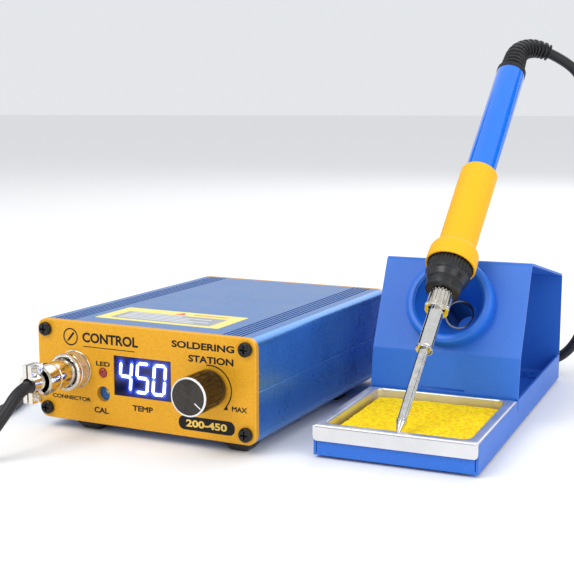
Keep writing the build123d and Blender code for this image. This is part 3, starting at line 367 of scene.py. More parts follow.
def spun(profile, origin, axis, side, columns=96, relief=None):
    """Grid of a turned piece: origin + distance * axis + radius * (cos a * side + sin a * across).

    profile is rows of (distance, radius) in millimetres. relief gives the change of radius for
    arrays of distance and angle, in millimetres."""
    axis, side = np.array(axis, float), np.array(side, float)
    across = np.cross(axis, side)
    angle = np.linspace(0, 2 * np.pi, columns, endpoint=False)[None, :]
    distance = np.repeat(profile[:, :1], columns, axis=1)
    radius = np.repeat(profile[:, 1:2], columns, axis=1)
    if relief is not None:
        radius = np.maximum(radius + relief(distance, angle + 0 * distance), 0.0)
    turn = np.cos(angle)[..., None] * side + np.sin(angle)[..., None] * across
    return np.array(origin) + MM * (distance[..., None] * axis + radius[..., None] * turn)


def carried(path, radius, columns=20):
    """Grid of a round tube along a path: at each point, a ring in the plane square to the path.

    The ring's first direction is carried on from point to point, less its part along the path,
    so that the tube doesn't twist. radius is in metres, one number or one for each point."""
    tangent = np.gradient(path, axis=0)
    tangent /= np.linalg.norm(tangent, axis=1)[:, None]
    first = np.empty_like(path)
    carry = np.cross(tangent[0], (0.3, 0.1, 0.9))
    for row, direction in enumerate(tangent):
        carry = carry - (carry @ direction) * direction
        carry = carry / np.linalg.norm(carry)
        first[row] = carry
    second = np.cross(tangent, first)
    angle = np.linspace(0, 2 * np.pi, columns, endpoint=False)
    ring = np.cos(angle)[None, :, None] * first[:, None] + np.sin(angle)[None, :, None] * second[:, None]
    reach = np.broadcast_to(np.asarray(radius, float), (len(path),))[:, None, None]
    return path[:, None] + reach * ring


print("surface helpers ready")

# %% [markdown]
# # 5. Finishes
# Painted steel, anodised aluminium, nickel, moulded rubber and foam differ mostly in how rough they are and
# in what breaks up that roughness. Shader groups hold the effects that several of them share: a fine grain,
# and faint handling marks. Constant values stay on each material's own shader.


# %% Shader groups
def shader_group(name, inputs):
    """A node group with a Vector input, the named number inputs, and Mask and Height outputs."""
    group = bpy.data.node_groups.new(name, "ShaderNodeTree")
    group.interface.new_socket(name="Vector", in_out="INPUT", socket_type="NodeSocketVector")
    for label, value in inputs.items():
        socket = group.interface.new_socket(name=label, in_out="INPUT", socket_type="NodeSocketFloat")
        socket.default_value = value
    for label in ("Mask", "Height"):
        group.interface.new_socket(name=label, in_out="OUTPUT", socket_type="NodeSocketFloat")
    start = group.nodes.new("NodeGroupInput")
    end = group.nodes.new("NodeGroupOutput")
    return group, start, end


def add_node(tree, kind, **values):
    """A node of a kind, with properties by name and inputs by "in_" and their number or name."""
    node = tree.nodes.new(kind)
    for label, value in values.items():
        if label.startswith("in_"):
            key = label[3:]
            node.inputs[int(key) if key.isdigit() else key].default_value = value
        else:
            setattr(node, label, value)
    return node


def wire(tree, *links):
    """Makes links, each given as a node and its output, then a node and its input."""
    for source, out, target, into in links:
        tree.links.new(source.outputs[out], target.inputs[into])


def grain_group():
    """Fine even grain: noise of a given scale, its middle tones spread over black to white."""
    group, start, end = shader_group("fine_grain", {"Scale": 900.0, "Low": 0.35, "High": 0.65})
    noise = add_node(group, "ShaderNodeTexNoise", in_Detail=3.0, in_Roughness=0.6)
    spread = add_node(group, "ShaderNodeMapRange")
    wire(
        group,
        (start, "Vector", noise, "Vector"),
        (start, "Scale", noise, "Scale"),
        (noise, "Fac", spread, "Value"),
        (start, "Low", spread, "From Min"),
        (start, "High", spread, "From Max"),
        (spread, "Result", end, "Mask"),
        (noise, "Fac", end, "Height"),
    )
    return group


def handling_group():
    """Faint marks of use: broad clouds that are broken up by a finer noise."""
    group, start, end = shader_group("handling", {"Scale": 22.0, "Fine": 260.0})
    clouds = add_node(group, "ShaderNodeTexNoise", in_Detail=4.0)
    fine = add_node(group, "ShaderNodeTexNoise", in_Detail=2.0)
    both = add_node(group, "ShaderNodeMath", operation="MULTIPLY")
    spread = add_node(group, "ShaderNodeMapRange")
    spread.inputs["From Min"].default_value = 0.15
    spread.inputs["From Max"].default_value = 0.40
    wire(
        group,
        (start, "Vector", clouds, "Vector"),
        (start, "Scale", clouds, "Scale"),
        (start, "Vector", fine, "Vector"),
        (start, "Fine", fine, "Scale"),
        (clouds, "Fac", both, 0),
        (fine, "Fac", both, 1),
        (both, 0, spread, "Value"),
        (spread, "Result", end, "Mask"),
        (both, 0, end, "Height"),
    )
    return group


fine_grain = grain_group()
handling = handling_group()


# %% Finish maker
def make_finish(
    name,
    light,
    dark,
    metallic=0.0,
    rough=(0.35, 0.5),
    grain=900.0,
    depth=0.00001,
    coat=0.0,
    specular=0.5,
    spread=(0.35, 0.65),
    follow="Object",
    glow=None,
):
    """A Principled finish. Grain mixes the two colours and lifts the surface, and handling marks
    shift its roughness. follow picks object coordinates, or the piece's own UV map. glow is a
    colour and a strength of light given out."""
    material = bpy.data.materials.new(name)
    material.use_nodes = True
    tree = material.node_tree
    shader = tree.nodes["Principled BSDF"]
    shader.inputs["Metallic"].default_value = metallic
    shader.inputs["Coat Weight"].default_value = coat
    shader.inputs["Coat Roughness"].default_value = 0.08
    shader.inputs["Specular IOR Level"].default_value = specular
    if glow:
        shader.inputs["Emission Color"].default_value = (*glow[0], 1)
        shader.inputs["Emission Strength"].default_value = glow[1]
    place = add_node(tree, "ShaderNodeTexCoord")
    fine = add_node(
        tree, "ShaderNodeGroup", node_tree=fine_grain, in_Scale=grain, in_Low=spread[0],
        in_High=spread[1]
    )
    marks = add_node(tree, "ShaderNodeGroup", node_tree=handling)
    colour = add_node(tree, "ShaderNodeMix", data_type="RGBA")
    for socket, shade in zip([s for s in colour.inputs if s.type == "RGBA"], (dark, light)):
        socket.default_value = (*shade, 1)
    mixed_colour = [s for s in colour.outputs if s.type == "RGBA"][0]
    tree.links.new(mixed_colour, shader.inputs["Base Color"])
    mixed = add_node(tree, "ShaderNodeMix", data_type="FLOAT", in_Factor=0.5)
    roughness = add_node(tree, "ShaderNodeMapRange")
    roughness.inputs["To Min"].default_value, roughness.inputs["To Max"].default_value = rough
    wire(
        tree,
        (place, follow, fine, "Vector"),
        (place, "Object", marks, "Vector"),
        (fine, "Mask", colour, "Factor"),
        (fine, "Mask", mixed, "A"),
        (marks, "Mask", mixed, "B"),
        (mixed, "Result", roughness, "Value"),
        (roughness, "Result", shader, "Roughness"),
    )
    if depth:
        bump = add_node(tree, "ShaderNodeBump", in_Distance=depth, in_Strength=1.0)
        wire(tree, (fine, "Height", bump, "Height"), (bump, "Normal", shader, "Normal"))
    return material


gold_panel = make_finish(
    "gold_panel", (0.86, 0.44, 0.02), (0.70, 0.32, 0.012), 0.3, (0.36, 0.5), 2400, specular=0.4
)
case_blue = make_finish(
    "case_blue", (0.06, 0.22, 0.58), (0.052, 0.20, 0.53), 0.6, (0.24, 0.32), 60, depth=0, specular=0.6
)
stand_paint = make_finish(
    "stand_paint", (0.028, 0.165, 0.66), (0.022, 0.14, 0.58), 0.0, (0.4, 0.5), 1500, depth=2.5e-5,
    specular=0.4
)
ring_plastic = make_finish(
    "ring_plastic", (0.018, 0.16, 0.72), (0.015, 0.145, 0.66), 0.0, (0.32, 0.42), 1200, depth=6e-6,
    specular=0.4
)
black_screw = make_finish("black_screw", (0.012, 0.012, 0.013), (0.006, 0.006, 0.007), 0.3, (0.22, 0.35))
black_plastic = make_finish(
    "black_plastic", (0.014, 0.014, 0.015), (0.008, 0.008, 0.009), 0.0, (0.35, 0.5), specular=0.4
)
black_rubber = make_finish(
    "black_rubber", (0.011, 0.011, 0.012), (0.007, 0.007, 0.008), 0.0, (0.36, 0.5), 1800,
    depth=1e-5, specular=0.4
)
nickel = make_finish("nickel", (0.80, 0.76, 0.69), (0.70, 0.66, 0.60), 1.0, (0.08, 0.18), 600, depth=1e-6)
bright_steel = make_finish(
    "bright_steel", (0.80, 0.79, 0.77), (0.72, 0.71, 0.69), 1.0, (0.08, 0.16), 300, depth=0, follow="UV"
)
tray_sheet = make_finish(
    "tray_sheet", (0.80, 0.80, 0.81), (0.70, 0.70, 0.71), 0.9, (0.26, 0.40), 40, depth=2e-5
)
grip_rubber = make_finish(
    "grip_rubber", (0.95, 0.50, 0.006), (0.90, 0.45, 0.004), 0.0, (0.42, 0.55), 1300, depth=8e-6,
    specular=0.35
)
handle_gloss = make_finish(
    "handle_gloss", (0.008, 0.18, 0.82), (0.007, 0.165, 0.78), 0.0, (0.12, 0.18), 200, depth=0,
    coat=0.5, specular=0.5
)
brass = make_finish("brass", (0.72, 0.52, 0.22), (0.6, 0.42, 0.17), 1.0, (0.2, 0.35))
board_green = make_finish("board_green", (0.02, 0.16, 0.06), (0.012, 0.10, 0.04), 0.0, (0.3, 0.5))
iron_core = make_finish("iron_core", (0.09, 0.085, 0.08), (0.05, 0.048, 0.045), 0.4, (0.4, 0.6))
blue_moulding = make_finish("blue_moulding", (0.02, 0.16, 0.5), (0.015, 0.12, 0.4), 0.0, (0.25, 0.35))
ink = make_finish("ink", (0.008, 0.008, 0.008), (0.012, 0.012, 0.012), 0.0, (0.4, 0.5), depth=0, specular=0.2)
print(len(bpy.data.materials), "finishes so far")


# %% Finishes on the CAD nodes
def dress(finish, *nodes):
    """Gives CAD nodes a finish, in every material slot that they have."""
    for node in nodes:
        for material_slot in frame["nodes"][node].material_slots:
            material_slot.material = finish


# The liner is bright steel, but it sits deep in the funnel, so its colour is made nearly black: painted
# shade, which leaves only a faint glint.
liner_painted_shade = make_finish(
    "liner_painted_shade", (0.05, 0.055, 0.07), (0.035, 0.04, 0.05), 0.9, (0.12, 0.2), 900, depth=0
)
for finish, nodes in (
    (case_blue, "case_upper case_lower"),
    (gold_panel, "front_panel rear_panel"),
    (black_screw, "front_screws rear_screws inlet_screws knob_grub_screw"),
    (black_rubber, "unit_feet stand_pads coil_tie heat_sink filter_capacitors"),
    (black_plastic, "display_module socket_insert knob_hub inlet_body switch_frame rocker holder_nut"),
    (nickel, "socket_body socket_nut pot_nut pot_washer board_fuse pot_shaft"),
    (nickel, "cord_clamp clamp_saddle clamp_screws"),
    (brass, "socket_pins inlet_pins trimmer_rotor"),
    (board_green, "power_board control_board"),
    (iron_core, "transformer potentiometer heater_socket"),
    (blue_moulding, "trimmer_body"),
    (stand_paint, "stand_base holder_bracket stand_screws"),
    (ring_plastic, "holder_ring"),
    (liner_painted_shade, "holder_liner"),
):
    dress(finish, *nodes.split())
print("CAD nodes dressed")

# %% Floor finish
floor_finish = make_finish(
    "floor_finish", (0.9, 0.9, 0.9), (0.9, 0.9, 0.9), 0.0, (0.9, 1.0), 30, depth=0, specular=0.0
)
floor.data.materials.append(floor_finish)
card_black = make_finish(
    "card_black", (0.004, 0.004, 0.004), (0.004, 0.004, 0.004), 0.0, (0.9, 1.0), depth=0, specular=0.0
)
for card in cards:
    card.data.materials.append(card_black)

# %% [markdown]
# # 6. The iron
# The iron is a stack of turned pieces on one line: a plated tip, a polished sleeve, a crown nut
# that holds them, a ribbed collar, the rubber grip and the plastic tube. Each is one profile spun
# round that line. A lathe rounds every edge a little, and that rounding is what catches the light,
# so `rounded` breaks each corner of the profile.


# %% Turned pieces on the iron's line
def turned_piece(name, line, profile, finish, body, replaces=(), columns=96, relief=None, crease=35.0):
    """A piece spun round a line, which is an origin, a direction and a side to count angles from."""
    mesh = grid_mesh(name, spun(profile, *line, columns, relief))
    return make_piece(name, mesh, finish, body, replaces, crease)


# Distances on this line are millimetres from the tip's end.
iron_line = (iron_tip, iron_axis, iron_side)
tip_profile = rounded(
    [
        (0.0, 0.0, 0), (0.0, 0.6, 0.3), (6.4, 2.45, 0.3), (6.6, 2.62, 0.1), (7.4, 2.62, 0.1),
        (7.9, 2.25, 0.3), (30.0, 2.42, 3.0), (48.5, 2.55, 0), (60.0, 2.55, 0), (60.0, 0.0, 0),
    ]
)
tip_plating = make_finish(
    "tip_plating", (0.84, 0.83, 0.81), (0.62, 0.61, 0.59), 1.0, (0.05, 0.12), 300, depth=0, follow="UV"
)
turned_piece("iron_tip", iron_line, tip_profile, tip_plating, "iron", ("tip",))

sleeve_profile = rounded(
    [
        (49.0, 0.0, 0), (49.0, 3.1, 0.2), (47.5, 3.9, 0.2), (47.5, 4.3, 0.2), (48.7, 4.3, 0.2),
        (49.4, 4.0, 0.3), (70.0, 4.0, 1.0), (83.2, 4.0, 0.1), (83.2, 0.0, 0),
    ]
)
turned_piece("iron_sleeve", iron_line, sleeve_profile, bright_steel, "iron", ("barrel_sleeve",))

crown_grooves = 20
crown_tabs = 3


def crown_relief(distance, angle):
    """Flat-bottomed grooves round the nut, and three small tabs on its lower flange.

    A groove is a half millimetre deep wherever the cosine of the angle times the number of grooves
    is high. A tab is the cosine of three times the angle to the eighth power."""
    groove = -0.5 * np.clip(4 * (np.cos(crown_grooves * angle) - 0.55), 0, 1)
    tab = 0.9 * np.clip(np.cos(crown_tabs * angle + 0.7), 0, 1) ** 8
    return np.where(distance > 73.6, groove, 0.0) * (distance < 82.2) + tab * (distance < 72.9)


crown_profile = rounded(
    [
        (71.5, 4.1, 0), (71.5, 6.0, 0.15), (72.8, 6.0, 0.15), (73.1, 5.3, 0.1), (73.7, 5.3, 0.1),
        (74.0, 5.9, 0.15), (78.0, 5.9, 0.5), (82.0, 5.9, 0.3), (82.9, 5.4, 0.2), (82.9, 4.1, 0),
        (71.5, 4.1, 0),
    ]
)
turned_piece(
    "crown_nut", iron_line, crown_profile, nickel, "barrel_nut", ("barrel_nut",), 240, crown_relief
)

collar_rib_count = 36


def collar_relief(distance, angle):
    """Moulded grip ribs: a raised cosine round the collar, only on its upper half."""
    rib = 0.28 * (np.cos(collar_rib_count * angle) - 1)
    return rib * np.clip((distance - 93.4) / 0.8, 0, 1) * np.clip((103.4 - distance) / 0.5, 0, 1)


collar_profile = rounded(
    [
        (83.2, 4.3, 0), (83.2, 8.2, 0.3), (83.9, 8.9, 0.3), (87.6, 9.3, 0.2), (87.9, 9.0, 0.1),
        (88.5, 9.0, 0.1), (88.8, 9.5, 0.2), (92.0, 10.4, 0.3), (93.2, 11.2, 0.3),
        (97.0, 11.4, 0.5), (100.2, 11.5, 0.5), (104.0, 11.5, 0.3), (104.0, 4.3, 0), (83.2, 4.3, 0),
    ]
)
collar_black = make_finish(
    "collar_black", (0.014, 0.014, 0.016), (0.009, 0.009, 0.011), 0.0, (0.26, 0.38), 1500,
    depth=4e-6, specular=0.5
)
turned_piece(
    "ribbed_collar",
    iron_line,
    collar_profile,
    collar_black,
    "collar_nut",
    ("collar_nut",),
    216,
    collar_relief,
)

grip_profile = rounded(
    [
        (104.2, 8.2, 0), (104.2, 11.9, 0.1), (99.8, 11.95, 0.1), (99.8, 12.9, 0.5),
        (104.0, 12.95, 1.0), (109.4, 12.7, 1.5), (111.6, 10.9, 1.0), (112.0, 9.8, 0.2),
        (125.0, 9.75, 2.0), (150.0, 9.9, 2.0), (165.0, 9.9, 0.7), (165.0, 8.15, 0),
        (104.2, 8.2, 0),
    ]
)
turned_piece(
    "rubber_grip", iron_line, grip_profile, grip_rubber, "iron", ("grip_sleeve",), 128
)

tube_profile = rounded(
    [
        (104.5, 6.5, 0), (104.5, 8.1, 0.1), (165.0, 8.1, 1.0), (200.0, 8.1, 1.0),
        (243.8, 8.1, 0.4), (243.8, 6.5, 0), (104.5, 6.5, 0),
    ]
)
turned_piece(
    "blue_handle", iron_line, tube_profile, handle_gloss, "iron", ("handle_tube",), 128
)
print("iron pieces turned")

# %% [markdown]
# # 7. The strain relief
# The boot is moulded rubber with a stack of thin ribs, and it bends over with the cord. It is
# drawn along a line, not spun: straight out of the handle, then round an arc. The radius along
# that line falls from the collar to the cord and swells at every rib.

# %% Boot line and ribs
boot_bend = 17.0
boot_ribs = 13


def boot_line(steps=260):
    """The boot's middle line: straight, an arc of one radius, straight again.

    On the arc a point is its centre plus radius * (sin a * direction in - cos a * direction out),
    written with the two directions at right angles."""
    along = np.linspace(0, 1, steps)[:, None]
    start = iron_tip + (tube_end - 0.2) * MM * iron_axis
    arc_start = boot_corner_place - boot_bend * MM * iron_axis
    turn = along * np.pi / 2
    out = boot_exit - (boot_exit @ iron_axis) * iron_axis
    out = out / np.linalg.norm(out)
    centre = arc_start + boot_bend * MM * out
    arc = centre + boot_bend * MM * (np.sin(turn) * iron_axis - np.cos(turn) * out)
    ends = start + along[::4] * (arc_start - start), arc[-1] + along[::20] * (cord_end - arc[-1])
    return without_repeats(np.concatenate([ends[0], arc, ends[1]]), 1e-7)


def at_lengths(points, along, wanted):
    """Points of a path at the wanted lengths along it, straight between its own points."""
    return np.stack([np.interp(wanted, along, column) for column in points.T], axis=1)


boot_lip_end, boot_collar_end, ribs_start = 0.35, 3.2, 3.6
boot_lip_radius, boot_collar_radius, boot_end_radius = 8.05, 8.3, 3.2
rib_radius, rib_taper, rib_height = 6.7, 2.35, 0.5
boot_path = boot_line()
boot_along = lengths_along(boot_path) / MM
boot_even = np.linspace(0, boot_along[-1], 320)
boot_path = at_lengths(boot_path, boot_along, boot_even)
boot_share = np.clip((boot_even - ribs_start) / (boot_even[-1] - ribs_start), 0, 1)
rib_wave = np.clip(1.6 * np.cos(2 * np.pi * boot_ribs * boot_share) + 0.4, -1, 1)
boot_radius = rib_radius - rib_taper * boot_share + rib_height * rib_wave
boot_radius = np.where(boot_even < boot_collar_end, boot_collar_radius, boot_radius)
boot_radius = np.where(boot_even < boot_lip_end, boot_lip_radius, boot_radius)
boot_radius[-1] = boot_end_radius
make_piece(
    "strain_boot",
    grid_mesh("strain_boot", carried(boot_path, boot_radius * MM, 48), caps=True),
    black_rubber,
    "iron",
    ("strain_relief",),
    50.0,
)
print("boot of", boot_ribs, "ribs,", round(boot_even[-1], 1), "mm long")

# %% [markdown]
# # 8. The plug and its knurled ring
# The aviation plug is nickel-plated brass. Its coupling ring has a diamond knurl at the back, so
# that fingers can turn it, and a wide polished lip at the front. The knurl is two sets of crossing
# helical grooves, which a wave in angle plus distance and a wave in angle less distance give.

# %% Coupling ring and plug shell
def front_line(spot):
    """The line straight out of the unit's front through a spot."""
    return on_front(spot), (0.0, -1.0, 0.0), (1.0, 0.0, 0.0)


knurl_count = 44
knurl_pitch = 1.35


def knurl_relief(distance, angle):
    """Pyramids of a diamond knurl: the lower of two crossing triangle waves, a third of a mm high."""
    turns = knurl_count * angle / (2 * np.pi)
    first = np.abs((turns + distance / knurl_pitch) % 1 - 0.5) * 2
    second = np.abs((turns - distance / knurl_pitch) % 1 - 0.5) * 2
    height = 0.34 * (np.minimum(first, second) - 0.5)
    return height * (distance > 2.5) * (distance < 7.0)


ring_profile = np.concatenate(
    [
        rounded([(1.8, 8.1, 0), (1.8, 9.0, 0.1), (2.3, 9.2, 0.1)]),
        np.stack([np.linspace(2.4, 7.1, 42), np.full(42, 9.2)], axis=1),
        rounded(
            [
                (7.2, 9.2, 0), (7.4, 8.8, 0.1), (7.8, 8.8, 0.1), (8.0, 9.3, 0.2), (9.6, 9.3, 0.3),
                (10.4, 8.7, 0.2), (10.4, 8.0, 0.1), (9.5, 7.3, 0.1), (8.6, 7.3, 0.1),
                (8.6, 8.1, 0), (1.8, 8.1, 0),
            ]
        ),
    ]
)
turned_piece(
    "knurled_ring",
    front_line(socket_spot),
    ring_profile,
    nickel,
    "coupling",
    ("coupling_ring",),
    352,
    knurl_relief,
    60.0,
)
shell_profile = rounded(
    [
        (8.9, 5.1, 0), (8.9, 7.0, 0.1), (12.0, 7.0, 0.5), (20.5, 7.0, 0.5), (20.8, 6.75, 0.1),
        (21.4, 6.75, 0.1), (21.7, 7.0, 0.1), (23.95, 7.0, 0.2), (23.95, 5.1, 0), (8.9, 5.1, 0),
    ]
)
turned_piece(
    "plug_body", front_line(socket_spot), shell_profile, nickel, "root", ("plug_shell",), 128
)
print("plug made")

# %% [markdown]
# # 9. The knob
# The knob is a turned aluminium cap: a fluted dark side, a bright cut rim, and a face that was
# faced off on a lathe, which leaves fine circles. They are shallow waves along the face's profile,
# because true geometry stays on the knob when it turns.

# %% Knob cap and rim
knob_top = 20.0
flute_count = 20
face_radius = 8.45


def flute_relief(distance, angle):
    """Round-bottomed flutes: a raised power of the cosine, between the collar and the rim."""
    flute = -0.55 * np.clip(np.cos(flute_count * angle), 0, 1) ** 1.5
    return flute * np.clip((distance - 4.6) / 0.5, 0, 1) * np.clip((knob_top - 2.0 - distance) / 0.5, 0, 1)


face_steps = np.linspace(face_radius, 0, 150)
face_waves = 0.012 * np.sin(2 * np.pi * face_steps / 0.42)
knob_profile = np.concatenate(
    [
        rounded([(1.0, 7.4, 0), (1.0, 9.2, 0.2), (4.3, 9.3, 0.2), (4.6, 9.1, 0.1)]),
        np.stack([np.linspace(4.8, knob_top - 1.6, 16), np.full(16, 9.3)], axis=1),
        np.array([(knob_top - 0.9, 9.25), (knob_top - 0.9, 8.6), (knob_top - 0.3, 8.5)]),
        np.stack([knob_top - 0.28 + face_waves, face_steps], axis=1),
    ]
)
knob_black = make_finish(
    "knob_black", (0.065, 0.058, 0.052), (0.045, 0.041, 0.038), 0.85, (0.14, 0.22), 900, depth=1e-6
)
turned_piece(
    "knob_cap",
    front_line(knob_spot),
    knob_profile,
    knob_black,
    "knob",
    ("knob_shell",),
    240,
    flute_relief,
    50.0,
)
rim_profile = rounded(
    [
        (knob_top - 0.9, 8.5, 0), (knob_top - 0.9, 9.3, 0.05), (knob_top - 0.5, 9.3, 0.1),
        (knob_top, 8.95, 0.1), (knob_top, 8.55, 0.05), (knob_top - 0.25, 8.45, 0.05),
        (knob_top - 0.9, 8.5, 0),
    ]
)
rim_silver = make_finish("rim_silver", (0.92, 0.92, 0.93), (0.86, 0.86, 0.87), 0.85, (0.3, 0.4), 900, depth=0)
turned_piece("knob_rim", front_line(knob_spot), rim_profile, rim_silver, "knob", columns=160)
print("knob turned with", flute_count, "flutes")

# %% [markdown]
# # 10. Print and labels
# Screen print and stickers are flat, and a camera this close sees their edges. Each is a thin
# plate: an outline lifted a few hundredths of a millimetre. The words are plain functions of the
# controls. Text is turned into a mesh first, then fitted to its box, so that the place of every
# word comes from a box on the panel.


# %% Plates and print
def plate_mesh(name, outline, thickness):
    """A prism with a flat outline, rows of (across, up) in millimetres, lifted by a thickness."""
    count = len(outline)
    flat = np.array(outline, float)
    low = np.column_stack([flat, np.zeros(count)])
    high = np.column_stack([flat, np.full(count, thickness)])
    faces = [list(range(count))[::-1], list(range(count, 2 * count))]
    faces += [[i, (i + 1) % count, count + (i + 1) % count, count + i] for i in range(count)]
    mesh = bpy.data.meshes.new(name)
    mesh.from_pydata(np.concatenate([low, high]).tolist(), [], faces)
    return mesh


def set_places(mesh, places):
    """Moves a mesh's points to rows of x, y and z."""
    mesh.vertices.foreach_set("co", places.ravel())
    mesh.update()


def text_mesh(name, words, box, thickness):
    """Words as a mesh, stretched to fill a box of (left, bottom, right, top) in millimetres.

    A small bevel outwards, as a share of the letter size, makes every stroke bolder."""
    curve = bpy.data.curves.new(name, "FONT")
    curve.body = words
    curve.bevel_depth = 0.034
    curve.bevel_resolution = 0
    curve.extrude = 0.1
    curve.resolution_u = 4
    holder = show(name + "_text", curve)
    bpy.context.view_layer.update()
    mesh = bpy.data.meshes.new_from_object(holder)
    bpy.data.objects.remove(holder)
    points = places_of(mesh)
    low, high = points.min(axis=0), points.max(axis=0)
    share = (points - low) / np.maximum(high - low, 1e-9)
    left, bottom, right, top = box
    set_places(mesh, np.array((left, bottom, 0.0)) + share * (right - left, top - bottom, thickness))
    return mesh


def join_meshes(name, meshes):
    """One mesh from several, with their faces in order."""
    out = bpy.data.meshes.new(name)
    with edited(out) as shape:
        for mesh in meshes:
            shape.from_mesh(mesh)
            bpy.data.meshes.remove(mesh)
        bmesh.ops.remove_doubles(shape, verts=shape.verts, dist=1e-6)
    return out


def lay_on(mesh, origin, across, up):
    """Moves a flat mesh from millimetres on its own plane to metres on a plane of the object."""
    plane = np.array([across, up, np.cross(across, up)], float)
    set_places(mesh, np.array(origin) + MM * places_of(mesh) @ plane)
    return mesh


print_lift, print_thickness = 0.01, 0.04
panel_face = on_unit(0, -print_lift, case_base)
panel_across, panel_up = (1.0, 0.0, 0.0), (0.0, 0.0, 1.0)


def ring_arc(radius, width, start, end, steps=48):
    """Outline of an arc of a ring between two angles in degrees, outer edge then inner edge."""
    angle = np.radians(np.linspace(start, end, steps))
    out = np.column_stack([np.cos(angle), np.sin(angle)])
    return np.concatenate([out * (radius + width / 2), (out * (radius - width / 2))[::-1]])


def rounded_box(left, bottom, right, top, radius, steps=8):
    """Outline of a rectangle with round corners, counted anticlockwise: at each corner's centre,
    a quarter circle that starts a quarter turn after the last."""
    turns = np.linspace(0, np.pi / 2, steps) + np.arange(4)[:, None] * np.pi / 2
    west, south, east, north = left + radius, bottom + radius, right - radius, top - radius
    centres = np.array([(east, north), (west, north), (west, south), (east, south)])
    return (centres[:, None] + radius * np.stack([np.cos(turns), np.sin(turns)], axis=2)).reshape(-1, 2)


legends = [
    ("SOLDERING", (79.7, 43.3, 113.8, 46.7)),
    ("STATION", (88.9, 37.1, 113.3, 40.5)),
    ("LED", (35.5, 29.8, 43.8, 32.1)),
    ("CAL", (33.8, 5.7, 42.4, 8.7)),
    ("TEMP", (56.6, 9.3, 68.5, 12.1)),
    ("CONNECTOR", (8.2, 10.7, 31.9, 12.8)),
    ("MAX", (112.3, 15.5, 120.4, 18.0)),
    ("CONTROL", (27.6, 40.9, 60.5, 46.0)),
]
arc_middle = np.array(knob_spot) + np.array((0.2, -0.5))
arc_radius = 11.4
badge = np.array((20.4, 43.0))
shapes = {
    "arc": arc_middle + ring_arc(arc_radius, 0.6, 100, -40),
    "arrow": [(107.7, 15.6), (110.2, 15.9), (109.6, 18.4)],
    "rule": rounded_box(27.8, 38.6, 58.5, 39.0, 0.15),
    "badge": badge + ring_arc(4.1, 0.7, 0, 359.9),
    "mark": badge + np.array([(-2.3, -2.6), (-1.4, -1.0), (1.6, 2.6), (2.5, 1.9), (-0.6, -1.6)]),
    "pill": rounded_box(83.0, 3.6, 113.8, 10.4, 3.1),
}
print_meshes = [text_mesh("word", words, box, print_thickness) for words, box in legends]
print_meshes += [plate_mesh(name, outline, print_thickness) for name, outline in shapes.items()]
panel_print = join_meshes("panel_print", print_meshes)
make_piece("panel_print", lay_on(panel_print, panel_face, panel_across, panel_up), ink, "root")

pill_words = text_mesh("pill_words", "200-450", (87.2, 5.2, 109.6, 8.8), 0.03)
pill_print = lay_on(pill_words, on_unit(0, -print_lift - print_thickness, case_base), panel_across, panel_up)
print_gold = make_finish("print_gold", (0.90, 0.62, 0.12), (0.84, 0.56, 0.10), 0.2, (0.4, 0.5), depth=0)
make_piece("pill_print", pill_print, print_gold, "root")
print(len(legends), "words printed on the panel")

# %% Label on the lid
sticker_thickness = 0.06
lid_across, lid_up = (1.0, 0.0, 0.0), (0.0, 1.0, 0.0)
label_yellow = make_finish(
    "label_yellow", (0.90, 0.78, 0.20), (0.86, 0.74, 0.17), 0.0, (0.3, 0.4), 300, depth=2e-6
)
label_grey = make_finish("label_grey", (0.34, 0.36, 0.40), (0.30, 0.32, 0.36), 0.0, (0.3, 0.4), 300, depth=0)
label_red = make_finish("label_red", (0.75, 0.06, 0.04), (0.70, 0.05, 0.04), 0.0, (0.3, 0.4), 300, depth=0)
label_pale = make_finish("label_pale", (0.78, 0.80, 0.84), (0.74, 0.76, 0.80), 0.0, (0.3, 0.4), 300, depth=0)


def lid_label(name, outlines, level, finish):
    """Flat prints on the lid at a level: one sticker, or what is printed on it."""
    lifted = on_unit(0, 0, case_base + case_height + print_lift + sticker_thickness * level)
    meshes = [plate_mesh(name, outline, sticker_thickness) for outline in outlines]
    mesh = lay_on(join_meshes(name, meshes), lifted, lid_across, lid_up)
    make_piece(name, mesh, finish, "root")


lid_label("label_sheet", [rounded_box(25, 14, 97, 46, 1.2)], 0, label_yellow)
lid_label("label_block", [rounded_box(32, 18, 90, 36, 0.6)], 1, label_grey)
bar_left, bar_pitch = 35, 3.2
bars = [
    rounded_box(bar_left, 20.5 + bar_pitch * row, bar_left + width, 21.6 + bar_pitch * row, 0.3)
    for row, width in enumerate((44, 51, 38, 49, 30))
]
lid_label("label_lines", bars, 2, label_pale)
lid_label("label_triangle", [np.array([(58.0, 38.2), (64.0, 38.2), (61.0, 43.4)])], 1, label_red)
lid_label("label_rule", [rounded_box(68, 40.2, 88, 41.2, 0.3)], 1, label_red)
print("label on the lid")

# %% [markdown]
# # 11. The display
# The readout is a dark window with three slanted seven-segment digits in it. A lit segment
# glows white, and the plastic round it takes up blue light that fades with distance. The digits
# are thin bars that give out light. The glow is worked out on a grid of points as a fall-off with
# the distance to the nearest bar, and stored in the mesh as a colour.

# %% Digits and window
window_middle = on_front(window_spot)
window_width, window_height = 33.0, 20.0
digit_width, digit_height, digit_pitch = 6.3, 14.4, 9.7
slant = math.tan(math.radians(5.0))
segment_half = 0.75
segment_gap = 0.35
half_width, half_height = digit_width / 2, digit_height / 2
segment_ends = {
    "top": ((-half_width, half_height), (half_width, half_height)),
    "middle": ((-half_width, 0), (half_width, 0)),
    "bottom": ((-half_width, -half_height), (half_width, -half_height)),
    "upper_left": ((-half_width, half_height), (-half_width, 0)),
    "upper_right": ((half_width, half_height), (half_width, 0)),
    "lower_left": ((-half_width, 0), (-half_width, -half_height)),
    "lower_right": ((half_width, 0), (half_width, -half_height)),
}
shown = {
    "4": ("upper_left", "upper_right", "middle", "lower_right"),
    "5": ("top", "upper_left", "middle", "lower_right", "bottom"),
    "0": ("top", "upper_left", "upper_right", "lower_left", "lower_right", "bottom"),
}


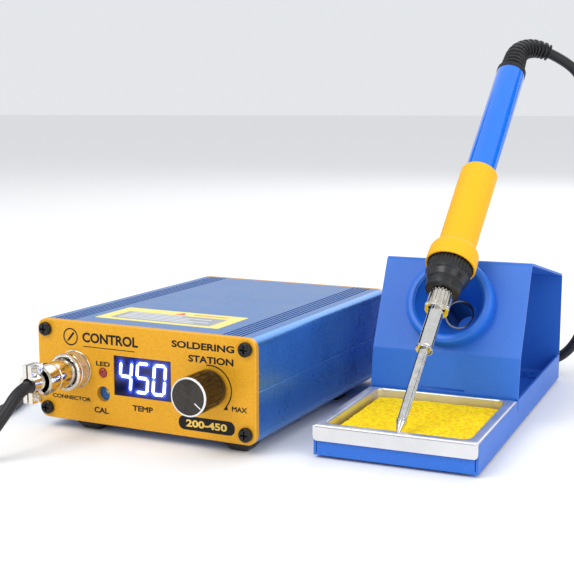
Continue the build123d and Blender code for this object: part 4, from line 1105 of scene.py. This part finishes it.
def segment_lines(number):
    """Middle lines of the lit segments, slanted: across moves by up times the slant."""
    lines = []
    for place, digit in enumerate(number):
        middle = (place - (len(number) - 1) / 2) * digit_pitch
        for segment in shown[digit]:
            start, end = (np.array(point) for point in segment_ends[segment])
            direction = (end - start) / np.linalg.norm(end - start)
            start, end = start + direction * segment_gap, end - direction * segment_gap
            lines.append([(middle + across + slant * up, up) for across, up in (start, end)])
    return np.array(lines)


lit_lines = segment_lines("450")


def segment_outline(line):
    """A segment's six corners: a pointed bar along its line."""
    start, end = line
    direction = (end - start) / np.linalg.norm(end - start)
    side = np.array((-direction[1], direction[0])) * segment_half
    inset = direction * segment_half
    one_side = [start, start + inset - side, end - inset - side]
    return np.array([*one_side, end, end - inset + side, start + inset + side])


digit_back, glass_back, glass_margin, glass_depth = 0.25, 0.3, 0.05, 1.4
digit_meshes = [plate_mesh("segment", segment_outline(line), 0.05) for line in lit_lines]
digits = lay_on(
    join_meshes("display_digits", digit_meshes), on_front(window_spot, digit_back), panel_across,
    panel_up
)
digit_glow = make_finish(
    "digit_glow", (0.8, 0.88, 1.0), (0.75, 0.84, 1.0), 0.0, (0.3, 0.4), depth=0, glow=((0.72, 0.84, 1.0), 3.2)
)
make_piece("display_digits", digits, digit_glow, "root")


def distance_to_lines(across, up, lines):
    """Distance from each point to the nearest line: the point's share along a line is held to 0
    and 1, and the distance is to the place at that share."""
    nearest = np.full(across.shape, 1e9)
    for start, end in lines:
        run = end - start
        share = ((across - start[0]) * run[0] + (up - start[1]) * run[1]) / (run @ run)
        share = np.clip(share, 0, 1)
        off_across, off_up = across - start[0] - share * run[0], up - start[1] - share * run[1]
        nearest = np.minimum(nearest, np.hypot(off_across, off_up))
    return nearest


window_rows, window_columns = 81, 133
reach_across, reach_up = window_width / 2 - glass_margin, window_height / 2 - glass_margin
grid_across, grid_up = np.meshgrid(
    np.linspace(-reach_across, reach_across, window_columns), np.linspace(-reach_up, reach_up, window_rows)
)
window_points = np.stack([grid_across, np.full(grid_across.shape, glass_back), grid_up], axis=2)
window_mesh = grid_mesh("display_glass", window_middle + MM * window_points, wrap_round=False)
with edited(window_mesh) as shape:
    lip = bmesh.ops.extrude_edge_only(shape, edges=[edge for edge in shape.edges if edge.is_boundary])
    lip_points = [item for item in lip["geom"] if isinstance(item, bmesh.types.BMVert)]
    bmesh.ops.translate(shape, verts=lip_points, vec=(0, glass_depth * MM, 0))
    fill_holes(shape)
places = (places_of(window_mesh) - window_middle) / MM
near = np.maximum(distance_to_lines(places[:, 0], places[:, 2], lit_lines) - segment_half, 0)
glow_reach = 1.1
level = np.exp(-near / glow_reach)[:, None]
glow_colour = level * np.array([(0.02, 0.05, 0.95)]) + level**4 * np.array([(0.10, 0.22, 0.5)])
glow_layer = window_mesh.color_attributes.new("glow", "FLOAT_COLOR", "POINT")
glow_layer.data.foreach_set("color", np.column_stack([glow_colour, np.ones(len(glow_colour))]).ravel())
window_dark = make_finish(
    "window_dark", (0.004, 0.006, 0.03), (0.003, 0.004, 0.02), 0.0, (0.08, 0.14), depth=0,
    glow=((0, 0, 0), 0.8)
)
window_tree = window_dark.node_tree
glow_node = add_node(window_tree, "ShaderNodeAttribute", attribute_name="glow")
wire(window_tree, (glow_node, "Color", window_tree.nodes["Principled BSDF"], "Emission Color"))
make_piece("display_glass", window_mesh, window_dark, "root", ("display_window",), 30.0)
print("display of", len(lit_lines), "lit segments")

# %% [markdown]
# # 12. Lamp, trimmer and pointer
# Three small things that the eye goes to: the red lamp is a clear dome, so it needs a coat that
# shines; the trimmer is a brass cross in a blue disc; and the knob's pointer is a filled groove.

# %% Lamp and pointer
dome = np.linspace(0, np.pi / 2, 12)
led_profile = np.concatenate(
    [[(-2.0, 0.0), (-2.0, 2.3), (-0.1, 2.35)], np.column_stack([1.3 * np.sin(dome), 2.35 * np.cos(dome)])]
)
led_red = make_finish(
    "led_red",
    (0.20, 0.004, 0.005),
    (0.16, 0.003, 0.004),
    0.0,
    (0.08, 0.14),
    400,
    depth=0,
    coat=0.6,
    glow=((0.6, 0.01, 0.01), 0.12),
)
turned_piece("lamp_dome", front_line(lamp_spot), led_profile, led_red, "root", ("status_led",), 48)

pointer_angle = math.radians(127.0)
pointer_along = np.array((math.sin(pointer_angle), math.cos(pointer_angle)))
pointer_side = np.array((-pointer_along[1], pointer_along[0]))
pointer_corners = [
    pointer_along * reach + pointer_side * side
    for reach, side in ((4.2, -0.24), (8.1, -0.24), (8.1, 0.24), (4.2, 0.24))
]
pointer_mesh = plate_mesh("knob_pointer", pointer_corners, 0.05)
with edited(pointer_mesh):
    pass
pointer_front = on_front(knob_spot, -(knob_top - 0.26))
pointer_white = make_finish("pointer_white", (0.9, 0.9, 0.9), (0.86, 0.86, 0.86), 0.0, (0.4, 0.5), depth=0)
pointer_piece = lay_on(pointer_mesh, pointer_front, panel_across, panel_up)
make_piece("knob_pointer", pointer_piece, pointer_white, "knob")
print("lamp and pointer made")

# %% [markdown]
# # 13. The sponge
# A damp cellulose sponge is a slab with soft edges and a coarse open grain. The slab is worked
# out from its middle outwards: each ring of points is the rounded outline, scaled, and the side
# is part of the same grid. Two sizes of smooth lattice noise then push its top up and down. The
# stand is turned a few degrees against the unit, and the sponge is turned with it.

# %% Sponge
sponge_low, sponge_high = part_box("sponge")
stand_turn = math.radians(2.95)
sponge_corner, sponge_clearance = 3.0, 0.9
coarse_cell, coarse_depth = 1.5, 0.45
fine_cell, fine_depth = 0.7, 0.3
noise_maker = np.random.default_rng(11)
lattice = noise_maker.random((2, 256, 256))


def lattice_noise(across, up, cell, layer):
    """Smooth noise from 0 to 1: random values on a lattice of cells, eased from one to the next."""
    column, row = across / cell, up / cell
    i, j = np.floor(column).astype(int), np.floor(row).astype(int)
    s, t = column - i, row - j
    s, t = s * s * (3 - 2 * s), t * t * (3 - 2 * t)
    values = lattice[layer]
    a, b = values[i % 256, j % 256], values[(i + 1) % 256, j % 256]
    c, d = values[i % 256, (j + 1) % 256], values[(i + 1) % 256, (j + 1) % 256]
    return a * (1 - s) * (1 - t) + b * s * (1 - t) + c * (1 - s) * t + d * s * t


def sponge_outline(steps=36):
    """The sponge's outline from its middle: a rectangle with round corners, evenly spaced.

    The box of a turned rectangle is its sides times the turn's cosines and sines, so the sides
    come from solving those two equations."""
    cosine, sine = math.cos(stand_turn), math.sin(stand_turn)
    sides = np.linalg.solve([(cosine, sine), (sine, cosine)], ((sponge_high - sponge_low) / MM)[:2])
    half = sides / 2 - sponge_clearance
    corners = rounded_box(-half[0], -half[1], half[0], half[1], sponge_corner)
    closed = np.concatenate([corners, corners[:1]])
    along = lengths_along(closed)
    return at_lengths(closed, along, np.linspace(0, along[-1], 8 * steps, endpoint=False))


# %% Sponge surface
stand_across = np.array((math.cos(stand_turn), math.sin(stand_turn), 0.0))
stand_along = np.array((-math.sin(stand_turn), math.cos(stand_turn), 0.0))
sponge_middle = np.array((*((sponge_low + sponge_high) / 2).xy, sponge_low.z))
sponge_thick = (sponge_high.z - sponge_low.z) / MM
ring_share = np.concatenate([np.linspace(0, 1, 6), np.ones(4), np.linspace(1, 0, 90)])
ring_rise = np.concatenate([np.zeros(6), np.linspace(0.25, 0.8, 4), np.full(90, 1.0)])
edge_drop = 0.9 * np.clip((ring_share - 0.96) / 0.04, 0, 1) ** 2 * (ring_rise == 1.0)
outline = sponge_outline()
flat_points = ring_share[:, None, None] * outline[None]
grain_x, grain_y = flat_points[..., 0] + 90, flat_points[..., 1] + 90
coarse = lattice_noise(grain_x, grain_y, coarse_cell, 0)
fine = lattice_noise(grain_x, grain_y, fine_cell, 1)
grain_drop = coarse_depth * coarse + fine_depth * fine
top_share = (ring_rise == 1.0)[:, None]
rise = ring_rise[:, None] * sponge_thick - edge_drop[:, None] - top_share * grain_drop
upwards = np.array((0, 0, 1.0))
sponge_flat = flat_points[..., :1] * stand_across + flat_points[..., 1:] * stand_along
sponge_points = sponge_middle + MM * (sponge_flat + rise[..., None] * upwards)
sponge_foam = make_finish(
    "sponge_foam",
    (1.0, 0.75, 0.008),
    (0.88, 0.50, 0.004),
    0.0,
    (0.75, 0.95),
    620,
    depth=1.6e-4,
    specular=0.2,
    spread=(0.40, 0.52),
)
sponge_piece = make_piece(
    "cleaning_sponge",
    grid_mesh("cleaning_sponge", sponge_points),
    sponge_foam,
    "root",
    ("sponge",),
    80.0,
)
print("sponge", round(sponge_thick, 1), "mm thick")

# %% [markdown]
# # 14. The tray
# The tray is drawn from thin bright sheet: a flat floor, steep walls, and a rim whose edges are
# rolled over. Mirror-bright sheet shows its shape only through those rounded edges, so each bend
# is several rings of points. The rings are round-cornered boxes that grow from the floor's middle
# to the rim's outer edge.

# %% Tray rings
pan_sides = (-34.0, -36.7, 34.0, 36.7)
rim_sides = (-39.0, -41.1, 39.0, 38.9)
pan_floor, rim_top, rim_bottom = 4.0, 16.1, 14.9


def on_tray(flat, height):
    """Points of the tray's own plane, counted from the pan's middle, to metres: across the stand,
    along the stand and up."""
    flat = np.asarray(flat, float)
    base = np.array((sponge_middle[0], sponge_middle[1], 0.0))
    level = flat[..., :1] * stand_across + flat[..., 1:2] * stand_along
    return base + MM * (level + height * upwards)


def tray_ring(pan_share, grow, height):
    """A ring between the pan's outline and the rim's: outline = pan + share * (rim - pan), then
    grown outwards by a distance."""
    pan, rim = np.array(pan_sides), np.array(rim_sides)
    left, bottom, right, top = pan + pan_share * (rim - pan) + grow * np.array((-1, -1, 1, 1))
    radius = 4.0 + grow if pan_share < 0.5 else 1.2
    return on_tray(rounded_box(left, bottom, right, top, max(radius, 0.4)), height)


bend = np.linspace(0, np.pi / 2, 6)
tray_rings = [on_tray(0.02 * rounded_box(*pan_sides, 4.0), pan_floor), tray_ring(0, -1.4, pan_floor)]
tray_rings += [tray_ring(0, -1.2 + 1.2 * math.sin(a), 5.2 - 1.2 * math.cos(a)) for a in bend[1:]]
tray_rings += [tray_ring(0, 0.0, rim_top - 1.0)]
tray_rings += [tray_ring(0, 0.8 - 0.8 * math.cos(a), rim_top - 0.8 + 0.8 * math.sin(a)) for a in bend[1:]]
tray_rings += [tray_ring(1, -0.9, rim_top - 0.1)]
tray_rings += [tray_ring(1, -0.8 + 0.8 * math.sin(a), rim_top - 0.9 + 0.8 * math.cos(a)) for a in bend[1:]]
tray_rings += [tray_ring(1, 0.0, rim_bottom)]
tray_mesh = grid_mesh("drawn_tray", np.array(tray_rings))
with edited(tray_mesh) as shape:
    fill_holes(shape, lambda edge: max(point.co.z for point in edge.verts) < 6 * MM)
# The rim's outer edge is open, so the faces may all have been turned the wrong way together.
if min(tray_mesh.polygons, key=lambda face: face.center.z).normal.z < 0:
    tray_mesh.flip_normals()
tray_piece = make_piece("drawn_tray", tray_mesh, tray_sheet, "root", ("sponge_tray",), 60.0)
tray_wall = tray_piece.modifiers.new("wall", "SOLIDIFY")
tray_wall.thickness = 0.45 * MM
tray_wall.offset = -1.0

skirt_outline = np.concatenate(
    [
        [(-39.0, 15.6), (-39.0, 10.2)],
        np.array((-37.0, 10.4)) + 2.0 * np.column_stack([-np.cos(bend), -np.sin(bend)]),
        (np.array((37.0, 10.4)) + 2.0 * np.column_stack([np.cos(bend), -np.sin(bend)]))[::-1],
        [(39.0, 10.2), (39.0, 15.6)],
    ]
)
skirt = plate_mesh("tray_skirt", skirt_outline, 0.5)
make_piece(
    "tray_skirt",
    lay_on(skirt, on_tray((0.0, -40.6), 0.0), tuple(stand_across), (0.0, 0.0, 1.0)),
    tray_sheet,
    "root",
)
print("tray of", len(tray_rings), "rings")

# %% [markdown]
# # 15. The cord's tube
# The cord is drawn last. A round tube is carried along the points of the smooth line from the start.

# %% Tube
cord_cover = make_finish(
    "cord_cover", (0.014, 0.014, 0.016), (0.009, 0.009, 0.011), 0.0, (0.38, 0.5), 1400, depth=1e-5,
    specular=0.4, follow="UV"
)
cord_path = without_repeats(cord_path, 1e-6)
cord_radius = cord_diameter / 2 * MM
cord_piece = make_piece(
    "iron_cord",
    grid_mesh("iron_cord", carried(cord_path, cord_radius, 16), caps=True),
    cord_cover,
    None,
    ("cord_lead", "cord_tail", "cord_coil"),
)
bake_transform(cord_piece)
print("cord tube of", len(cord_path), "rings")
